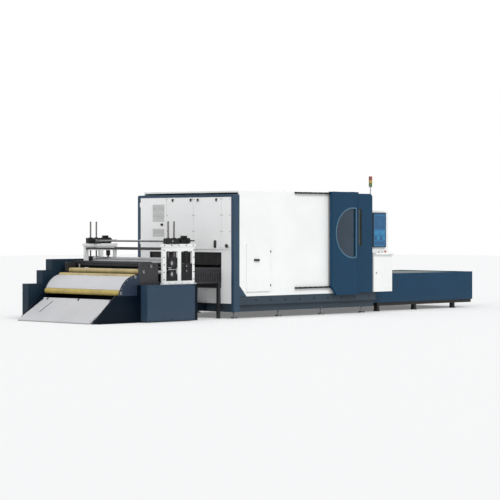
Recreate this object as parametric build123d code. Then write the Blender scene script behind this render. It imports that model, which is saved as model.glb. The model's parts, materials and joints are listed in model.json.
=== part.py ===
from build123d import *
from math import asin, cos, degrees, radians, sin
import os

# Coil-fed fiber laser cutting machine, in millimetres.
# The strip runs along +X: ramp, arc table, servo roll feeder, enclosure, outfeed conveyor.
# While drawing, X = 0 is the infeed end plane, Y = 0 the operator side, Z = 0 the floor.
# Every piece is moved at the end, so that the origin is the bottom centre of the whole.

# Fits and gaps
running_fit = 0.05
side_gap = 1.0
seam_gap = 4.0
contact_gap = 0.5

# Strip path
pass_line_z = 862.0
strip_width = 1500.0
strip_room = 30.0

# Enclosure
enclosure_length = 3444.0
enclosure_width = 2400.0
enclosure_height = 2100.0
wall = 30.0
portal_depth = 133.0
portal_proud = 10.0
portal_border = 45.0
portal_front_border = 65.0
portal_corner_r = 30.0
gusset_run = 169.0
gusset_rise = 186.0
outlet_portal_depth = 414.0
outlet_portal_rise = 44.0
outlet_portal_proud = 60.0
outlet_corner_r = 70.0
roof_rise = 60.0
roof_corner_r = 12.0
bed_top_z = 374.0
bed_band_z = 230.0
bed_bottom_z = 113.0
bed_recess = 60.0
bed_overhang = 156.0
foot_pad_r = 60.0
foot_pad_height = 22.0
foot_screw_r = 15.0
foot_inset = 180.0
foot_rows = 4

# Inlet end wall, its service panels and its electrical cabinet door
end_wall_bottom_z = 255.0
inlet_y0 = 306.0
inlet_z0 = 513.0
inlet_z1 = 1118.0
sill_height = 85.0
sill_proud = 12.0
table_plate = 6.0
table_slot = 14.0
table_slot_count = 16
table_slat_count = 6
table_foot = 50.0
inlet_header = 52.0
service_depth = 18.0
narrow_panel_y1 = 280.0
service_seam_y = 970.0
cabinet_y0 = 1660.0
hook_width = 34.0
hook_height = 46.0
hook_depth = 22.0
hook_drop = 70.0
hook_inset = 118.0
oval_handle_length = 131.0
oval_handle_width = 44.0
oval_handle_depth = 30.0
oval_handle_rise = 88.0
knob_r = 32.0
knob_depth = 38.0
knob_rise = 58.0
latch_r = 21.0
latch_depth = 30.0
latch_stem_r = 9.0
latch_wing_reach = 19.0
latch_wing = 5.0
latch_drop = 58.0
latch_inset = 98.0
vent_inset = 48.0
vent_length = 302.0
vent_rows = 15
vent_pitch = 20.0
vent_slot = 8.0
vent_recess = 7.0
vent_drop = 454.0
lower_vent_rows = 7
lower_vent_drop = 261.0

# Front wall, access door and sliding door
access_x0 = 292.0
access_width = 557.0
access_z0 = 450.0
access_height = 820.0
access_handle_rise = 536.0
access_handle_inset = 221.0
access_handle_length = 120.0
access_handle_height = 34.0
access_handle_depth = 30.0
access_door_thickness = 21.0
access_seal = 3.0
entry_inset = 40.0
entry_width = 590.0
entry_z0 = 560.0
entry_head = 100.0
slide_width = 703.0
slide_z0 = 346.0
slide_rise = 70.0
slide_depth = 50.0
slide_clearance = 10.0
slide_corner_run = 125.0
slide_corner_rise = 156.0
slide_edge_r = 8.0
shoe_length = 60.0
shoe_height = 20.0
shoe_inset = 160.0
slide_travel = 800.0
rail_length = 1553.0
rail_height = 30.0
rail_depth = 40.0
upper_rail_rise = 40.0
lower_rail_z = 490.0
window_margin = 82.0
window_width = 453.0
window_tip_rise = 226.0
window_drop = 306.0
window_height = 842.0
window_frame = 26.0
window_frame_proud = 6.0
glass_thickness = 8.0
strip_window_inset = 22.0
strip_window_width = 95.0
strip_window_height = 654.0

# Cutting gantry
chamber_margin = 60.0
slat_end_room = 300.0
slat_pitch = 100.0
slat_thickness = 5.0
slat_height = 110.0
slat_first_x = 420.0
slat_rail = 45.0
slat_leg = 60.0
support_y = 150.0
support_width = 90.0
support_top_z = 985.0
gantry_rail = 30.0
gantry_x = 520.0
gantry_width = 200.0
gantry_height = 190.0
gantry_truck_length = 320.0
gantry_truck_height = 60.0
carriage_y = 900.0
carriage_width = 240.0
carriage_depth = 110.0
carriage_height = 320.0
carriage_rail = 14.0
carriage_rail_width = 24.0
head_r = 42.0
head_length = 300.0
nozzle_r = 9.0
nozzle_length = 45.0
nozzle_holder_r = 25.0
head_clearance = 15.0
head_travel = 100.0

# Dust outlet in the rear wall
dust_x = 1500.0
dust_drop = 350.0
dust_r = 100.0
dust_wall = 4.0
dust_flange = 35.0
dust_length = 90.0

# Operator console
console_gap = 21.0
console_width = 500.0
console_y0 = -120.0
console_y1 = 260.0
console_bed_gap = 6.0
shelf_z = 1085.0
shelf_lip = 30.0
shelf_overhang = 45.0
screen_inset = 57.0
screen_width = 349.0
screen_rise = 93.0
screen_height = 630.0
screen_depth = 34.0
screen_edge_r = 8.0
monitor_y = 20.0
screen_head = 42.0
bracket_height = 500.0
button_r = 15.0
button_height = 14.0
button_travel = 4.0
stop_r = 22.0
stop_height = 26.0
stop_neck_r = 13.0
stop_travel = 6.0
button_well = 12.0
tower_inset = 129.0
tower_y = 120.0
tower_height = 615.0
tower_pole_r = 11.0
lens_r = 32.0
lens_height = 62.0
lens_count = 3
lens_cap = 12.0

# Outfeed conveyor
conveyor_y0 = 300.0
conveyor_length = 3170.0
conveyor_top_z = 690.0
skirt_z0 = 158.0
skirt_thickness = 4.0
skirt_lip = 30.0
belt_thickness = 6.0
belt_drop = 12.0
belt_roller_r = 70.0
belt_side = 40.0
roller_shaft_r = 20.0
end_plate = 20.0
subframe_height = 60.0
subframe_width = 80.0
conveyor_leg_places = (420.0, 1470.0, 2610.0)
conveyor_leg = 60.0

# Infeed base, ramp and arc table
base_x0 = -2897.0
base_x1 = -690.0
base_top_z = 605.0
base_y0 = 250.0
feeder_base_y0 = 160.0
cheek = 30.0
cheek_top_x = -2448.0
cheek_top_z = 407.0
core_x0 = -2300.0
core_low_x = -1950.0
core_low_z = 300.0
flange_height = 12.0
flange_width = 70.0
anchor_r = 9.0
anchor_x0 = -2700.0
anchor_x1 = -2060.0
cover_inset = 2.0
cover_x1 = -896.0
link_y0 = 700.0
link_z0 = 120.0
link_z1 = 240.0
cover_y0 = 0.0
cover_z0 = 20.0
cover_panel = 4.0
hinge_x = -2371.0
hinge_z = 350.0
ramp_hinge_r = 12.0
ramp_length = 648.0
ramp_thickness = 24.0
ramp_y0 = 305.0
ramp_floor_gap = 3.0
ramp_slot_width = 26.0
ramp_slot_inset = 300.0
ramp_slot_start = 0.10
ramp_slot_end = 0.63
lug_width = 46.0
lug_gap = 2.0
arc_centre_z = 370.0
arc_r = 400.0
arc_plate = 12.0
arc_flat_x = -1886.0
apron_r = 388.0
apron_thickness = 5.0
apron_start_angle = 168.0
apron_end_angle = 104.0
roller_r = 45.0
roller_pitch_r = 372.0
roller_journal_r = 15.0
lower_roller_angle = 162.0
upper_roller_angle = 97.0
roller_end_gap = 10.0
top_roller_x = -1800.0

# Entry guide
entry_frame_x0 = -1900.0
entry_frame_x1 = -1480.0
entry_frame_y0 = 262.0
entry_frame_plate = 20.0
entry_frame_corner_r = 40.0
entry_frame_top_z = 960.0
holddown_x = -1640.0
holddown_r = 35.0
holddown_gap = 8.0
holddown_bar = 40.0
guide_bar_x = -1720.0
guide_bar = 30.0
guide_block = 70.0
guide_roller_r = 18.0
guide_roller_height = 60.0
guide_collar_r = 23.0
guide_collar_height = 9.0
guide_rest_y = 400.0
guide_travel = 350.0

# Servo roll feeder
frame_length = 714.0
frame_end_gap = 31.0
frame_y0 = 200.0
frame_thickness = 40.0
frame_top_z = 1266.0
frame_top_bar = 46.0
frame_head = 116.0
frame_sill = 55.0
left_post = 78.0
middle_post = 80.0
right_post = 53.0
feed_window = 252.0
feed_window_r = 18.0
frame_flange = 14.0
frame_flange_width = 90.0
feed_roll_r = 90.0
feed_journal_r = 35.0
exit_roll_r = 40.0
exit_journal_r = 18.0
chock_height = 190.0
chock_thickness = 60.0
bearing_r = 68.0
adjuster_drop = 60.0
adjuster_size = 62.0
spindle_r = 14.0
spindle_offset = 65.0
spindle_rise = 374.0
spindle_chamfer = 3.0
spindle_hole_gap = 0.5
jack_height = 92.0
jack_width = 84.0
jack_length = 280.0
jack_edge_r = 10.0
jack_collar_r = 34.0
cross_shaft_r = 16.0
coupling_r = 26.0
coupling_length = 48.0
lift_travel = 60.0
lift_per_turn = 10.0
motor_r = 52.0
motor_length = 250.0
motor_fin_count = 5
motor_fin = 7.0
motor_neck_r = 24.0
motor_tail_r = 12.0
motor_tail = 135.0
tie_bar = 36.0
tie_drop = 82.0

# Rear drive housing
housing_x0 = -2100.0
housing_top_z = 1005.0
step_x0 = -2300.0
step_top_z = 820.0
low_step_x0 = -2600.0
low_step_top_z = 600.0
housing_corner_r = 14.0

# Values worked out from the sizes above
centre_y = enclosure_width / 2
inlet_y1 = enclosure_width - inlet_y0
front_y = portal_front_border - portal_proud
rear_y = enclosure_width - front_y
portal_x1 = portal_depth - portal_proud
outlet_x0 = enclosure_length - outlet_portal_depth
outlet_top_z = enclosure_height + outlet_portal_rise
bed_end_x = enclosure_length + bed_overhang
panel_top_z = enclosure_height - portal_border - seam_gap
service_z0 = inlet_z1 + inlet_header
hook_z = enclosure_height - portal_border - hook_drop
oval_handle_z = service_z0 + oval_handle_rise
knob_z = service_z0 + knob_rise
upper_vent_z0 = enclosure_height - vent_drop
lower_vent_z0 = upper_vent_z0 - lower_vent_drop
vent_y0 = cabinet_y0 + vent_inset
vent_y1 = vent_y0 + vent_length
latch_z = upper_vent_z0 - latch_drop
latch_y = cabinet_y0 + latch_inset
access_x1 = access_x0 + access_width
access_z1 = access_z0 + access_height
access_handle_x = access_x0 + access_handle_inset
access_handle_z = access_z0 + access_handle_rise
entry_x1 = outlet_x0 - entry_inset
entry_x0 = entry_x1 - entry_width
entry_z1 = enclosure_height - entry_head
rail_x0 = outlet_x0 - rail_length
upper_rail_z = enclosure_height + upper_rail_rise
slide_x1 = outlet_x0 - seam_gap
slide_x0 = slide_x1 - slide_width
slide_z1 = enclosure_height + slide_rise
window_x1 = slide_x1 - window_margin
window_tip_x = window_x1 - window_width
window_top_z = slide_z1 - window_drop
window_bottom_z = window_top_z - window_height
window_tip_z = window_bottom_z + window_tip_rise
strip_window_x0 = outlet_x0 + strip_window_inset
strip_window_x1 = strip_window_x0 + strip_window_width
strip_window_z0 = window_top_z - strip_window_height
dust_z = enclosure_height - dust_drop
console_x0 = enclosure_length + console_gap
console_x1 = console_x0 + console_width
console_z0 = bed_top_z + console_bed_gap
screen_x0 = console_x0 + screen_inset
screen_x1 = screen_x0 + screen_width
screen_z0 = shelf_z + screen_rise
screen_z1 = screen_z0 + screen_height
console_top_z = screen_z1 + screen_head
tower_x = console_x0 + tower_inset
tower_top_z = console_top_z + tower_height
conveyor_x1 = bed_end_x + conveyor_length
conveyor_y1 = enclosure_width - conveyor_y0
conveyor_leg_x = tuple(bed_end_x + place for place in conveyor_leg_places)
cover_x0 = core_low_x + cover_inset
arc_centre_x = core_low_x
frame_x1 = base_x1 - frame_end_gap
frame_x0 = frame_x1 - frame_length
window_floor = base_top_z + frame_sill
window_top = frame_top_z - frame_head
adjuster_z = window_top - adjuster_drop
spindle_top_z = frame_top_z + spindle_rise
tie_z = frame_top_z - tie_drop
roof_z = enclosure_height + roof_rise
service_x0 = -service_depth
slide_y1 = -rail_depth - slide_clearance
slide_y0 = slide_y1 - slide_depth
slat_top_z = pass_line_z - 2 * contact_gap
slat_y0 = centre_y - strip_width / 2 - strip_room
slat_y1 = centre_y + strip_width / 2 + strip_room
slat_count = int((outlet_x0 - slat_end_room - slat_first_x) / slat_pitch) + 1
slat_last_x = slat_first_x + (slat_count - 1) * slat_pitch
truck_z0 = support_top_z + gantry_rail + contact_gap
beam_z0 = truck_z0 + gantry_truck_height
beam_z1 = beam_z0 + gantry_height
carriage_x0 = gantry_x + gantry_width + carriage_rail + contact_gap
carriage_x1 = carriage_x0 + carriage_depth
head_x = carriage_x1 + contact_gap + head_r
head_y = carriage_y + carriage_width / 2
tip_z = pass_line_z + head_clearance
lower_roll_z = pass_line_z - feed_roll_r
upper_roll_z = pass_line_z + contact_gap + feed_roll_r
lower_exit_z = pass_line_z - exit_roll_r
upper_exit_z = pass_line_z + contact_gap + exit_roll_r
feed_window_x0 = frame_x0 + left_post
feed_window_x1 = feed_window_x0 + feed_window
exit_window_x0 = feed_window_x1 + middle_post
exit_window_x1 = frame_x1 - right_post
feed_x = (feed_window_x0 + feed_window_x1) / 2
exit_x = (exit_window_x0 + exit_window_x1) / 2
frame_y1 = frame_y0 + frame_thickness
roll_y0 = frame_y1 + roller_end_gap
roll_y1 = enclosure_width - roll_y0
jack_z1 = frame_top_z + jack_height
cross_shaft_z = frame_top_z + jack_height / 2
base_y1 = enclosure_width - base_y0
ramp_y1 = enclosure_width - ramp_y0
ramp_drop = hinge_z - ramp_floor_gap - ramp_thickness / 2
ramp_turn = 180 - degrees(asin(ramp_drop / ramp_length))
hinge_room = 40.0
lug_inset = 100.0
lug_places = (ramp_y0 + lug_inset, centre_y, ramp_y1 - lug_inset)
arc_foot_z = cheek_top_z + cheek
arc_foot_angle = 180 - degrees(asin((arc_foot_z - arc_centre_z) / arc_r))
guide_bar_drop = 42.0
guide_bar_z1 = pass_line_z - guide_bar_drop
guide_bar_z0 = guide_bar_z1 - guide_bar
spindle_xs = (feed_x - spindle_offset, feed_x + spindle_offset)
housing_y0 = enclosure_width - feeder_base_y0 + seam_gap
table_y0 = base_y0 + arc_plate
table_y1 = enclosure_width - table_y0
top_roller_z = pass_line_z - roller_r
entry_y0 = entry_frame_y0
entry_y1 = enclosure_width - entry_frame_y0
holddown_z = pass_line_z + holddown_gap + holddown_r
console_mid_x = (console_x0 + console_x1) / 2
button_y = (console_y0 + monitor_y) / 2
button_pitch = 90.0
start_place = (console_mid_x - button_pitch, button_y)
stop_place = (console_mid_x + button_pitch, button_y)
lens_z0 = tower_top_z - lens_count * lens_height
belt_axis_z = conveyor_top_z - belt_drop - belt_thickness - contact_gap - belt_roller_r
frame_side_y = conveyor_y0 + skirt_lip + skirt_thickness
belt_y0 = frame_side_y + end_plate + belt_side
belt_y1 = enclosure_width - belt_y0
tail_x = enclosure_length + 2 * belt_roller_r + conveyor_leg
drive_x = conveyor_x1 - skirt_thickness - 2 * belt_roller_r

hinge_r = 8.0
hinge_half = 40.0
cabinet_hinge_y = rear_y - 3 * seam_gap
access_hinge_x = access_x1 + hinge_r + side_gap
access_y1 = -access_seal
access_y0 = access_y1 - access_door_thickness


def block(x0, x1, y0, y1, z0, z1):
    """Box between three pairs of planes."""
    corner = (Align.MIN, Align.MIN, Align.MIN)
    return Pos(x0, y0, z0) * Box(x1 - x0, y1 - y0, z1 - z0, align=corner)


def rod_x(y, z, r, x0, x1):
    """Round bar along X."""
    end = (Align.CENTER, Align.CENTER, Align.MIN)
    return Pos(x0, y, z) * Rot(0, 90, 0) * Cylinder(r, x1 - x0, align=end)


def rod_y(x, z, r, y0, y1):
    """Round bar along Y."""
    end = (Align.CENTER, Align.CENTER, Align.MIN)
    return Pos(x, y0, z) * Rot(-90, 0, 0) * Cylinder(r, y1 - y0, align=end)


def rod_z(x, y, r, z0, z1):
    """Round bar along Z."""
    end = (Align.CENTER, Align.CENTER, Align.MIN)
    return Pos(x, y, z0) * Cylinder(r, z1 - z0, align=end)


def side_cut(face, y0, y1):
    """Solid with an X-Z outline between two Y planes."""
    return extrude(Plane.XZ.offset(-y1) * face, amount=y1 - y0, dir=(0, -1, 0))


def end_cut(face, x0, x1):
    """Solid with a Y-Z outline between two X planes."""
    return extrude(Plane.YZ.offset(x0) * face, amount=x1 - x0, dir=(1, 0, 0))


def outline(*points):
    """Straight-sided face."""
    return Polygon(*points, align=None)


def rectangle(u0, u1, v0, v1):
    """Face between two pairs of lines."""
    return Pos(u0, v0) * Rectangle(u1 - u0, v1 - v0, align=(Align.MIN, Align.MIN))


def group(pieces):
    """Separate solids that share one node."""
    return Compound([solid for piece in pieces for solid in piece.solids()])


def leaf_block(x, y, leaf_x1, leaf_y1, z0, z1):
    """Hinge leaf between the hinge's axis and the corner that it reaches."""
    low_x, high_x = sorted((x, leaf_x1))
    low_y, high_y = sorted((y, leaf_y1))
    return block(low_x, high_x, low_y, high_y, z0, z1)


def door_halves(x, y, z0, z1, leaf_x1, leaf_y1):
    """Upper halves of two lift-off hinges, each on a leaf that reaches the door."""
    halves = []
    for z in (z0 + 3 * hinge_half, z1 - 3 * hinge_half):
        leaf = leaf_block(x, y, leaf_x1, leaf_y1, z, z + hinge_half)
        halves.append(rod_z(x, y, hinge_r, z, z + hinge_half) + leaf)
    return halves


def wall_halves(x, y, z0, z1, leaf_x1, leaf_y1):
    """Lower halves of the same hinges, each on a leaf that reaches the wall."""
    halves = []
    for z in (z0 + 3 * hinge_half, z1 - 3 * hinge_half):
        top = z - contact_gap
        leaf = leaf_block(x, y, leaf_x1, leaf_y1, top - hinge_half, top)
        halves.append(rod_z(x, y, hinge_r, top - hinge_half, top) + leaf)
    return halves


def mirrored(piece):
    """The same piece on the other side of the strip's centre line."""
    return mirror(piece, about=Plane.XZ.offset(-centre_y))


def both_sides(piece):
    """A piece and its mirror image across the centre line."""
    return group([piece, mirrored(piece)])


# Enclosure

def bed():
    """Welded bed: a wide top band over a narrower plinth, with a nose between the posts."""
    high = rectangle(0, enclosure_width, bed_band_z, bed_top_z)
    low = rectangle(bed_recess, enclosure_width - bed_recess, bed_bottom_z, bed_band_z)
    body = end_cut(high + low, portal_x1, bed_end_x)
    nose = block(wall, portal_x1, front_y, rear_y, bed_bottom_z, bed_top_z)
    return body + nose


def levelling_feet():
    """Screwed feet: round pad and threaded stem in two rows under the bed."""
    pitch = (bed_end_x - 2 * foot_inset) / (foot_rows - 1)
    feet = []
    for row in range(foot_rows):
        x = foot_inset + row * pitch
        for y in (foot_inset, enclosure_width - foot_inset):
            pad = rod_z(x, y, foot_pad_r, 0, foot_pad_height)
            pad = chamfer(pad.edges().group_by(Axis.Z)[-1], foot_pad_height / 3)
            feet.append(pad + rod_z(x, y, foot_screw_r, 0, bed_bottom_z))
    return group(feet)


def inlet_portal():
    """Arch of box section round the infeed end, with a gusset foot on each side."""
    low = bed_bottom_z
    side_y = -portal_proud
    far_y = enclosure_width + portal_proud
    outer = rectangle(side_y, far_y, low, enclosure_height)
    top_corners = outer.vertices().group_by(Axis.Y)[-1]
    outer = fillet(top_corners, portal_corner_r)
    inner = rectangle(front_y, rear_y, low, enclosure_height - portal_border)
    arch = end_cut(outer - inner, -portal_proud, portal_x1)
    gusset = outline(
        (portal_x1, bed_top_z),
        (portal_x1 + gusset_run, bed_top_z),
        (portal_x1, bed_top_z + gusset_rise),
    )
    front = side_cut(gusset, side_y, 0)
    return arch + front + mirrored(front)


def end_wall():
    """White wall inside the arch, with the strip inlet cut through it."""
    top = enclosure_height - portal_border
    body = rectangle(front_y, rear_y, end_wall_bottom_z, top)
    inlet = rectangle(inlet_y0, inlet_y1, inlet_z0, inlet_z1)
    plate = end_cut(body - inlet, 0, wall)
    for hinge in wall_halves(
        service_x0, cabinet_hinge_y, service_z0, panel_top_z, 0, cabinet_hinge_y + hinge_r
    ):
        plate += hinge
    return plate


def inlet_sill():
    """Black sill bar along the lower edge of the inlet."""
    bar = block(-sill_proud, wall, inlet_y0, inlet_y1, inlet_z0, inlet_z0 + sill_height)
    front_edges = bar.edges().filter_by(Axis.Y).group_by(Axis.X)[0]
    return fillet(front_edges, sill_proud / 2)


def transfer_table():
    """Bridge table from the feeder to the inlet: slotted side plates and cross slats."""
    x0 = base_x1
    x1 = 0
    y0 = inlet_y0 + seam_gap
    z0 = inlet_z0 + sill_height
    z1 = slat_top_z
    side = block(x0, x1, y0, y0 + table_plate, z0, z1)
    for index in range(table_slot_count):
        x = x0 + (index + 1) * (x1 - x0) / (table_slot_count + 1)
        slot = block(
            x - table_slot / 2,
            x + table_slot / 2,
            y0,
            y0 + table_plate,
            z0 + 2 * table_slot,
            z1 - 2 * table_slot,
        )
        side -= slot
    table = side + mirrored(side)
    for index in range(table_slat_count):
        x = x0 + (index + 0.5) * (x1 - x0) / table_slat_count
        table += block(
            x - table_slot, x + table_slot, y0, enclosure_width - y0, z1 - 2 * table_slot, z1
        )
    for x in (x0 + table_slot, x1 - table_foot - table_slot):
        foot = block(x, x + table_foot, y0, y0 + table_foot, 0, z0)
        table += foot + mirrored(foot)
    return table


def service_panel(y0, y1):
    """Lift-off panel with a seam all round."""
    half = seam_gap / 2
    panel = block(service_x0, 0, y0 + half, y1 - half, service_z0, panel_top_z)
    return chamfer(panel.edges().group_by(Axis.X)[0], half / 2)


def service_panels():
    """Narrow side panel and two wide lift-off panels over the inlet."""
    return group([
        service_panel(front_y + seam_gap / 2, narrow_panel_y1),
        service_panel(narrow_panel_y1, service_seam_y),
        service_panel(service_seam_y, cabinet_y0),
    ])


def panel_hooks():
    """Two pull hooks near the top of each wide panel."""
    hooks = []
    for y in (
        narrow_panel_y1 + hook_inset,
        service_seam_y - hook_inset,
        service_seam_y + hook_inset / 2,
        cabinet_y0 - hook_inset * 3 / 2,
    ):
        x0 = service_x0 - hook_depth
        y0 = y - hook_width / 2
        hook = block(x0, service_x0, y0, y0 + hook_width, hook_z, hook_z + hook_height)
        hollow = block(
            x0 + hook_depth / 3,
            service_x0,
            y0,
            y0 + hook_width,
            hook_z,
            hook_z + hook_height * 2 / 3,
        )
        hooks.append(hook - hollow)
    return group(hooks)


def panel_grips():
    """Oval grip and round knob on the service panels."""
    y = narrow_panel_y1 + hook_inset * 5 / 4
    oval = SlotOverall(oval_handle_length, oval_handle_width, rotation=90)
    grip = end_cut(Pos(y, oval_handle_z) * oval, service_x0 - oval_handle_depth, service_x0)
    grip = chamfer(grip.edges().group_by(Axis.X)[0], oval_handle_depth / 4)
    knob_y = (front_y + narrow_panel_y1) / 2 - knob_r
    stem = rod_x(knob_y, knob_z, knob_r / 2, service_x0 - knob_depth, service_x0)
    head = rod_x(knob_y, knob_z, knob_r, service_x0 - knob_depth, service_x0 - knob_depth / 2)
    head = chamfer(head.edges().filter_by(GeomType.CIRCLE), knob_depth / 8)
    return group([grip, stem + head])


def cabinet_door():
    """Electrical cabinet door with two fields of louvre slots and its hinge halves."""
    half = seam_gap / 2
    x0 = service_x0
    edge_y = cabinet_hinge_y - hinge_r - side_gap
    door = block(x0, -seam_gap, cabinet_y0 + half, edge_y, service_z0, panel_top_z)
    for first, rows in ((upper_vent_z0, vent_rows), (lower_vent_z0, lower_vent_rows)):
        for row in range(rows):
            z = first + row * vent_pitch
            door -= block(x0, x0 + vent_recess, vent_y0, vent_y1, z, z + vent_slot)
    door -= rod_x(latch_y, latch_z, latch_stem_r + running_fit, x0, 0)
    for hinge in door_halves(
        x0, cabinet_hinge_y, service_z0, panel_top_z, x0 + hinge_r, edge_y
    ):
        door += hinge
    return door


def cabinet_latch():
    """Turning latch: grooved knob on a stem through the door, with a wing inside."""
    face = service_x0 - contact_gap
    stem = rod_x(latch_y, latch_z, latch_stem_r, face - latch_depth, -seam_gap / 2)
    knob = rod_x(latch_y, latch_z, latch_r, face - latch_depth, face)
    knob = chamfer(knob.edges().filter_by(GeomType.CIRCLE).group_by(Axis.X)[0], latch_r / 6)
    bar = block(
        face - latch_depth - latch_wing,
        face - latch_depth,
        latch_y - latch_wing_reach,
        latch_y + latch_wing_reach,
        latch_z - latch_wing,
        latch_z + latch_wing,
    )
    return knob + stem + bar


def front_wall():
    """White operator-side wall with its access opening and its sliding-door opening."""
    body = rectangle(portal_x1, outlet_x0, bed_top_z, enclosure_height)
    access = rectangle(
        access_x0 + wall,
        access_x1 - wall,
        access_z0 + wall,
        access_z1 - wall,
    )
    entry = rectangle(entry_x0, entry_x1, entry_z0, entry_z1)
    return side_cut(body - access - entry, 0, wall)


def access_hinges():
    """Wall halves of the access door's hinges."""
    return group(wall_halves(
        access_hinge_x, access_y0, access_z0, access_z1, access_hinge_x + hinge_r, 0
    ))


def access_door():
    """Overlay door over the access opening, with a turned-in edge."""
    door = block(access_x0, access_x1, access_y0, access_y1, access_z0, access_z1)
    door = fillet(door.edges().group_by(Axis.Y)[0], slide_edge_r / 2)
    for hinge in door_halves(
        access_hinge_x, access_y0, access_z0, access_z1, access_x1, access_y0 + hinge_r
    ):
        door += hinge
    return door


def access_handle():
    """Recess-style pull with a finger hollow underneath."""
    x0 = access_handle_x - access_handle_length / 2
    z0 = access_handle_z - access_handle_height / 2
    y0 = access_y0 - access_handle_depth
    grip = block(
        x0, x0 + access_handle_length, y0, access_y0, z0, z0 + access_handle_height
    )
    grip = fillet(grip.edges().filter_by(Axis.Z).group_by(Axis.Y)[0], access_handle_depth / 2)
    lip = access_handle_depth / 4
    hollow = block(
        x0 + 2 * lip,
        x0 + access_handle_length - 2 * lip,
        y0 + lip,
        access_y0,
        z0,
        z0 + access_handle_height - lip,
    )
    return grip - hollow


def door_rails():
    """Upper hanging rail and lower guide rail of the sliding door."""
    rails = []
    for z in (upper_rail_z, lower_rail_z):
        z0 = z - rail_height / 2
        rails.append(block(rail_x0, outlet_x0, -rail_depth, 0, z0, z0 + rail_height))
    return group(rails)


def window_face():
    """Viewing window: straight outer edge and one smooth arc."""
    top = (window_x1, window_top_z)
    low = (window_x1, window_bottom_z)
    arc = ThreePointArc(top, (window_tip_x, window_tip_z), low)
    return make_face(arc + Line(low, top))


def sliding_door():
    """Proud door with a cut lower corner, its window hole, a hanging lip and guide shoes."""
    body = outline(
        (slide_x0, slide_z1),
        (slide_x1, slide_z1),
        (slide_x1, slide_z0),
        (slide_x0 + slide_corner_run, slide_z0),
        (slide_x0, slide_z0 + slide_corner_rise),
    )
    door = side_cut(body - window_face(), slide_y0, slide_y1)
    rail_top = upper_rail_z + rail_height / 2
    door += block(slide_x0, slide_x1, slide_y1, -rail_depth / 2, rail_top + contact_gap, slide_z1)
    shoe_z = lower_rail_z + rail_height / 2 + contact_gap
    for x in (slide_x0 + shoe_inset, slide_x1 - shoe_inset - shoe_length):
        door += block(
            x, x + shoe_length, slide_y1, -rail_depth / 2, shoe_z, shoe_z + shoe_height
        )
    return door


def door_window():
    """Laser-safe pane in the middle of the door's thickness."""
    y0 = (slide_y0 + slide_y1 - glass_thickness) / 2
    return side_cut(window_face(), y0, y0 + glass_thickness)


def window_trim():
    """Light trim ring round the viewing window."""
    ring = offset(window_face(), amount=window_frame, kind=Kind.ARC) - window_face()
    return side_cut(ring, slide_y0 - window_frame_proud, slide_y0)


def outlet_portal():
    """Folded housing round the outfeed end, open towards the cutting chamber."""
    y0 = -outlet_portal_proud
    y1 = enclosure_width + outlet_portal_proud
    face = rectangle(outlet_x0, enclosure_length, bed_top_z, outlet_top_z)
    corner = face.vertices().group_by(Axis.Y)[-1].sort_by(Axis.X)[-1]
    face = fillet(corner, outlet_corner_r)
    body = side_cut(face, y0, y1)
    inside = rectangle(
        outlet_x0 - wall, enclosure_length - wall, bed_top_z, outlet_top_z - wall
    )
    corner = inside.vertices().group_by(Axis.Y)[-1].sort_by(Axis.X)[-1]
    inside = fillet(corner, outlet_corner_r - wall)
    body -= side_cut(inside, y0 + wall, y1 - wall)
    body -= block(
        enclosure_length - wall, enclosure_length, inlet_y0, inlet_y1, inlet_z0, inlet_z1
    )
    body -= block(
        strip_window_x0, strip_window_x1, y0, y0 + wall, strip_window_z0, window_top_z
    )
    return body


def strip_window():
    """Narrow pane in the outfeed housing, beside the door."""
    y0 = -outlet_portal_proud + (wall - glass_thickness) / 2
    return block(
        strip_window_x0, strip_window_x1, y0, y0 + glass_thickness, strip_window_z0, window_top_z
    )


def roof():
    """Roof tray folded from sheet, with rounded long edges and an open underside."""
    face = rectangle(0, enclosure_width, enclosure_height, roof_z)
    face = fillet(face.vertices().group_by(Axis.Y)[-1], roof_corner_r)
    inside = rectangle(wall, enclosure_width - wall, enclosure_height, roof_z - wall)
    return end_cut(face - inside, portal_x1, outlet_x0)


def rear_wall():
    """Rear wall with the hole of the dust outlet."""
    y0 = enclosure_width - wall
    plate = block(portal_x1, outlet_x0, y0, enclosure_width, bed_top_z, enclosure_height)
    return plate - rod_y(dust_x, dust_z, dust_r, y0, enclosure_width)


def dust_collar():
    """Flanged spigot for an extraction hose."""
    y0 = enclosure_width
    tube = rod_y(dust_x, dust_z, dust_r + dust_wall, y0, y0 + dust_length)
    flange = rod_y(dust_x, dust_z, dust_r + dust_flange, y0, y0 + dust_wall)
    bore = rod_y(dust_x, dust_z, dust_r, y0, y0 + dust_length)
    return tube + flange - bore


# Inside the cutting chamber

def slat_bed():
    """Slatted support table: cross slats between two side rails on corner legs."""
    x0 = slat_first_x - slat_rail
    x1 = slat_last_x + slat_rail
    z0 = slat_top_z - slat_height
    inner = slat_y0 + slat_rail
    table = block(x0, x1, slat_y0, inner, z0 - slat_rail, slat_top_z - slat_rail)
    table += mirrored(table)
    for x in (x0, x1 - slat_leg):
        leg = block(x, x + slat_leg, slat_y0, inner, bed_top_z, z0 - slat_rail)
        table += leg + mirrored(leg)
    for index in range(slat_count):
        x = slat_first_x + index * slat_pitch
        table += block(x, x + slat_thickness, slat_y0, slat_y1, z0, slat_top_z)
    return table


def gantry_supports():
    """Two long side beams with guide rails on top."""
    y0 = support_y - support_width / 2
    x0 = portal_x1 + chamber_margin
    x1 = outlet_x0 - chamber_margin
    beam = block(x0, x1, y0, y0 + support_width, bed_top_z, support_top_z)
    rail_y = support_y - gantry_rail / 2
    beam += block(
        x0, x1, rail_y, rail_y + gantry_rail, support_top_z, support_top_z + gantry_rail
    )
    return both_sides(beam)


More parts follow.
